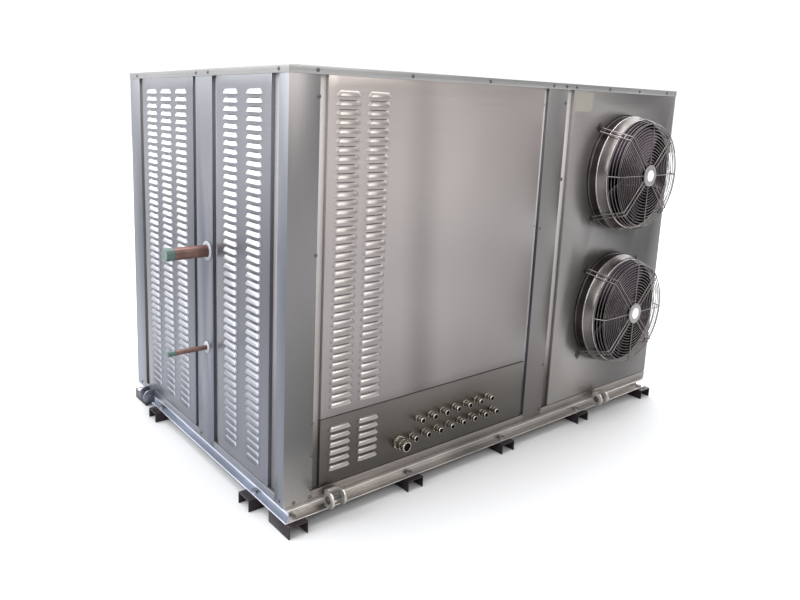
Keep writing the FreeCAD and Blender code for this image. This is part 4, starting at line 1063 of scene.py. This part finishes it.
def make_grommet(pipe):
    inner = pipe["radius"] + 0.0003
    outer = inner + 0.015
    return round_piece([
        (inner, 0), (outer, 0), (outer, 0.0015), (outer - 0.002, 0.003), (inner + 0.006, 0.0036),
        (inner + 0.002, 0.004), (inner, 0.004), (inner, 0)], pipe)


def make_pipes():
    finished(joined([make_stub(SUCTION), make_stub(LIQUID)]), "copper_pipe_stubs", COPPER,
             "pipe_stubs")
    make_cap(SUCTION, "suction_stub_cap", "suction_cap")
    make_cap(LIQUID, "liquid_stub_cap", "liquid_cap")
    finished(joined([make_grommet(SUCTION), make_grommet(LIQUID)]), "pipe_sealing_rings",
             PALE_SEAL, "pipe_grommets")


# Lifting lugs

def make_lug():
    """A clevis of two round-nosed ears on a back plate, facing -Y from the rail's edge at y = 0."""
    pieces = []
    for x in (-(LUG_GAP + LUG_EAR) / 2, (LUG_GAP + LUG_EAR) / 2):
        edit(box((LUG_EAR, LUG_REACH, 2 * LUG_RADIUS), (x, -LUG_REACH / 2, LUG_LEVEL)))
        pick("EDGE", lambda p: (
            all(v.y < -LUG_REACH / 2 for v in p) and abs(p[0].x - p[1].x) > LUG_EAR / 2))
        bpy.ops.mesh.bevel(offset=LUG_RADIUS * 0.999, segments=12, affect="EDGES")
        pieces.append(soften(leave_edit(), 0.0012))
    pieces.append(box((LUG_GAP + 0.001, LUG_EAR, 2 * LUG_RADIUS - 0.002),
                      (0, -LUG_EAR / 2, LUG_LEVEL)))
    return joined(pieces)


def make_pin():
    """A pin through both ears with a hexagon head on a washer, and a plain far end."""
    half = LUG_GAP / 2 + LUG_EAR
    shank = turned([
        (0, -half - PIN_HEAD + 0.0005), (PIN_RADIUS - 0.001, -half - PIN_HEAD + 0.0005),
        (PIN_RADIUS - 0.0005, -half - PIN_HEAD + 0.0015), (PIN_RADIUS - 0.0005, half),
        (0.0155, half), (0.0155, half + 0.002), (0.009, half + 0.002), (0.009, half + 0.0055),
        (0.006, half + PIN_HEAD), (0, half + PIN_HEAD)], 24)
    pin = placed(joined([shank, hex_bar(0.013, 0.0045, half + 0.0015, 0.001)]),
                 Matrix.Rotation(-math.pi / 2, 4, "Z"))
    return placed(pin, Matrix.Translation((0, LUG_RADIUS - LUG_REACH, LUG_LEVEL)))


def make_lugs():
    places = [on_side(side, along, proud=ledge) for side, along, ledge in LUGS]
    for source, name, finish, node in (
            (make_lug(), "lifting_clevises", LUG_STEEL, "lifting_lugs"),
            (make_pin(), "clevis_pins", SCREW_STEEL, "lug_pins")):
        thing = finished(repeated(source, places), name, finish, node)
        # Faces on the left end take the bluish copy: painted light from the left.
        second_finish(thing, END_POST_STEEL, lambda middle, normal: middle.x < CORNER.x - 0.001)


# Screws and the plate

def screw():
    """A pan-head screw on a thin washer, facing -Y."""
    r = SCREW_RADIUS
    rise = SCREW_RISE
    return turned([
        (0, 0), (r * 1.25, 0), (r * 1.25, 0.0006), (r, 0.0008), (r * 0.94, rise * 0.6),
        (r * 0.7, rise * 0.92), (r * 0.35, rise), (r * 0.28, rise * 0.6), (0, rise * 0.6)], 12)


def set_screws(name, places, proud=0.0):
    """Screws at each side's places along it and up it."""
    spots = [on_side(side, along, z, proud) for side, row in places.items() for along, z in row]
    finished(repeated(screw(), spots), name, SCREW_STEEL, smooth=50)


LID_SCREW_LEVEL = 1.635
LID_PROUD = 0.002
END_LID_SCREWS = (0.064, 0.614, 0.726, 1.404)
LID_SCREWS = {
    "front": (0.117, 0.560, 1.000, 1.429, 1.526, 1.601, 1.873, 2.138, 2.404),
    "left": END_LID_SCREWS,
    "right": END_LID_SCREWS,
    "rear": (0.117, 0.560, 1.000, 1.429, 1.526, 1.873, 2.138, 2.404),
}
POST_SCREWS = {
    "front": ((0.126, 1.545), (0.126, 0.975), (0.126, 0.319), (0.127, 0.185), (0.127, 0.045),
              (0.123, 0.012), (0.048, 0.012), (1.528, 0.272), (1.532, 0.030), (1.415, 0.030),
              (1.528, 1.560), (1.412, 0.975)),
    "left": ((0.030, 0.020), (0.600, 0.020), (0.715, 0.020), (1.440, 0.020)),
    "right": ((0.600, 0.020), (0.715, 0.020)),
}
STRIP_SCREWS = {
    "front": ((1.386, 1.549), (1.386, 0.985), (1.386, 0.191), (1.573, 0.070), (1.567, 1.200))}
PLATE_START = 1.600
PLATE_END = 1.741
PLATE_LOW = 1.523
PLATE_HIGH = 1.612


def make_screws():
    lid = {side: [(along, LID_SCREW_LEVEL) for along in row] for side, row in LID_SCREWS.items()}
    set_screws("lid_screws", lid, LID_PROUD)
    set_screws("post_screws", POST_SCREWS)
    set_screws("strip_screws", STRIP_SCREWS, -PANEL_DEPTH)


def make_plate():
    """A small bare plate with a raised border and a rivet in each corner."""
    width = PLATE_END - PLATE_START
    height = PLATE_HIGH - PLATE_LOW
    edit(box((width, 0.001, height), (0, -0.0005, 0)))
    pick("FACE", lambda p: all(v.y < -0.0009 for v in p))
    bpy.ops.mesh.inset(thickness=0.004, depth=0)
    extrude((0, 0.0004, 0))
    pieces = [soften(leave_edit(), 0.0002, 1)]
    for x in (-width / 2 + 0.007, width / 2 - 0.007):
        for z in (-height / 2 + 0.007, height / 2 - 0.007):
            rivet = turned([(0, 0.0004), (0.0024, 0.0004), (0.0019, 0.0014), (0, 0.0018)], 10)
            pieces.append(placed(rivet, Matrix.Translation((x, 0, z))))
    middle = on_side("front", (PLATE_START + PLATE_END) / 2, (PLATE_LOW + PLATE_HIGH) / 2)
    finished(placed(joined(pieces), middle), "bare_plate", PLATE_METAL)


# Pieces inside the cabinet and under it keep their frame shape

def paint_inner_pieces():
    for finish, nodes in (
            (GALVANISED, ("top_rails", "bulkhead", "floor_pan", "foot_bolts", "compressor_bars",
                          "coil_end_plates")),
            (COPPER, ("suction_line", "discharge_line", "condensate_line", "liquid_line",
                      "coil_headers")),
            (VESSEL_PAINT, ("filter_drier", "suction_accumulator", "liquid_receiver")),
            (COMPRESSOR_PAINT, ("compressor_body", "compressor_heads")),
            (BOX_PAINT, ("electrical_box", "electrical_box_door")),
            (BASE_STEEL, ("floor_bearers",)), (RUBBER, ("compressor_mounts",)),
            (NICKEL, ("compressor_valves",)), (COIL_FINS, ("condenser_coil",))):
        for node in nodes:
            paint(node, finish)


# Camera, floor and light

CAMERA_PLACE = Vector((-2.47765, -2.7367, 1.6115))
CAMERA_YAW = math.radians(36.7772)
CAMERA_PITCH = math.radians(-10.7348)
CAMERA_ROLL = math.radians(1.664)
CAMERA_LENS = 31.39
CAMERA_SHIFT = (0.07425, -0.0744)


def make_camera():
    forward = Vector((math.cos(CAMERA_PITCH) * math.sin(CAMERA_YAW),
                      math.cos(CAMERA_PITCH) * math.cos(CAMERA_YAW), math.sin(CAMERA_PITCH)))
    level = Vector((math.cos(CAMERA_YAW), -math.sin(CAMERA_YAW), 0))
    rise = level.cross(forward)
    right = level * math.cos(CAMERA_ROLL) + rise * math.sin(CAMERA_ROLL)
    up = rise * math.cos(CAMERA_ROLL) - level * math.sin(CAMERA_ROLL)
    camera = bpy.data.objects.new("camera", bpy.data.cameras.new("camera"))
    bpy.context.collection.objects.link(camera)
    turn = Matrix((right, up, -forward)).transposed().to_4x4()
    camera.matrix_world = Matrix.Translation(CAMERA_PLACE) @ turn
    camera.data.sensor_width = 36.0
    camera.data.lens = CAMERA_LENS
    camera.data.shift_x, camera.data.shift_y = CAMERA_SHIFT
    camera.data.clip_end = 100.0
    bpy.context.scene.camera = camera
    bpy.context.scene.view_settings.view_transform = "Standard"


def area_light(name, place, aim, size, power, colour):
    light = bpy.data.lights.new(name, "AREA")
    light.shape = "RECTANGLE"
    light.size = size[0]
    light.size_y = size[1]
    light.energy = power
    light.color = colour
    lamp = bpy.data.objects.new(name, light)
    lamp.location = place
    lamp.rotation_euler = (Vector(aim) - Vector(place)).to_track_quat("-Z", "Y").to_euler()
    bpy.context.collection.objects.link(lamp)


FRONT_HORIZON = 0.42
FRONT_SKY = 1.3
REAR_HORIZON = 1.06
REAR_SKY = 4.4


def make_studio():
    bpy.ops.mesh.primitive_plane_add(size=60, location=(0, 0, 0))
    floor = active()
    floor.name = "pale_floor"
    floor.data.materials.append(plain("pale_floor_paint", (184, 184, 184), 0.0, 0.8)[0])
    world = bpy.data.worlds.new("studio")
    bpy.context.scene.world = world
    world.use_nodes = True
    tree = world.node_tree
    parts = add(tree, "SeparateXYZ", {"Vector": add(tree, "TexCoord")["Generated"]})

    def rise(axis, *ends):
        """A soft rise in brightness along one axis of the sky."""
        return remapped(tree, parts[axis], *ends, "SMOOTHSTEP")

    # Sockets 2 and 3 are a mix node's plain values, the sky in front and behind
    sky = add(tree, "Mix", {
        "Factor": rise("Y", -0.32, -0.06, 0.0, 1.0),
        2: rise("Z", 0.20, 0.60, FRONT_HORIZON, FRONT_SKY),
        3: rise("Z", 0.10, 0.34, REAR_HORIZON, REAR_SKY)})
    feed(tree.nodes["Background"], {"Strength": sky[0], "Color": (0.97, 0.98, 1.0, 1.0)})
    area_light("left_window", (-5.5, -0.5, 3.6), (-1.2, 0, 0.8), (3.0, 3.0), 120, (0.93, 0.96, 1.0))
    area_light("front_softbox", (0.5, -5.5, 4.2), (0.2, -0.7, 0.7), (4.0, 2.0), 110,
               (1.0, 0.97, 0.94))
    area_light("top_softbox", (0.0, 0.0, 5.5), (0, 0, 0), (4.0, 3.0), 90, (1.0, 1.0, 1.0))


make_camera()
make_studio()
make_frame()
make_louvred_panels()
make_fans()
make_glands()
make_pipes()
make_lugs()
make_screws()
make_plate()
paint_inner_pieces()

bpy.context.view_layer.update()
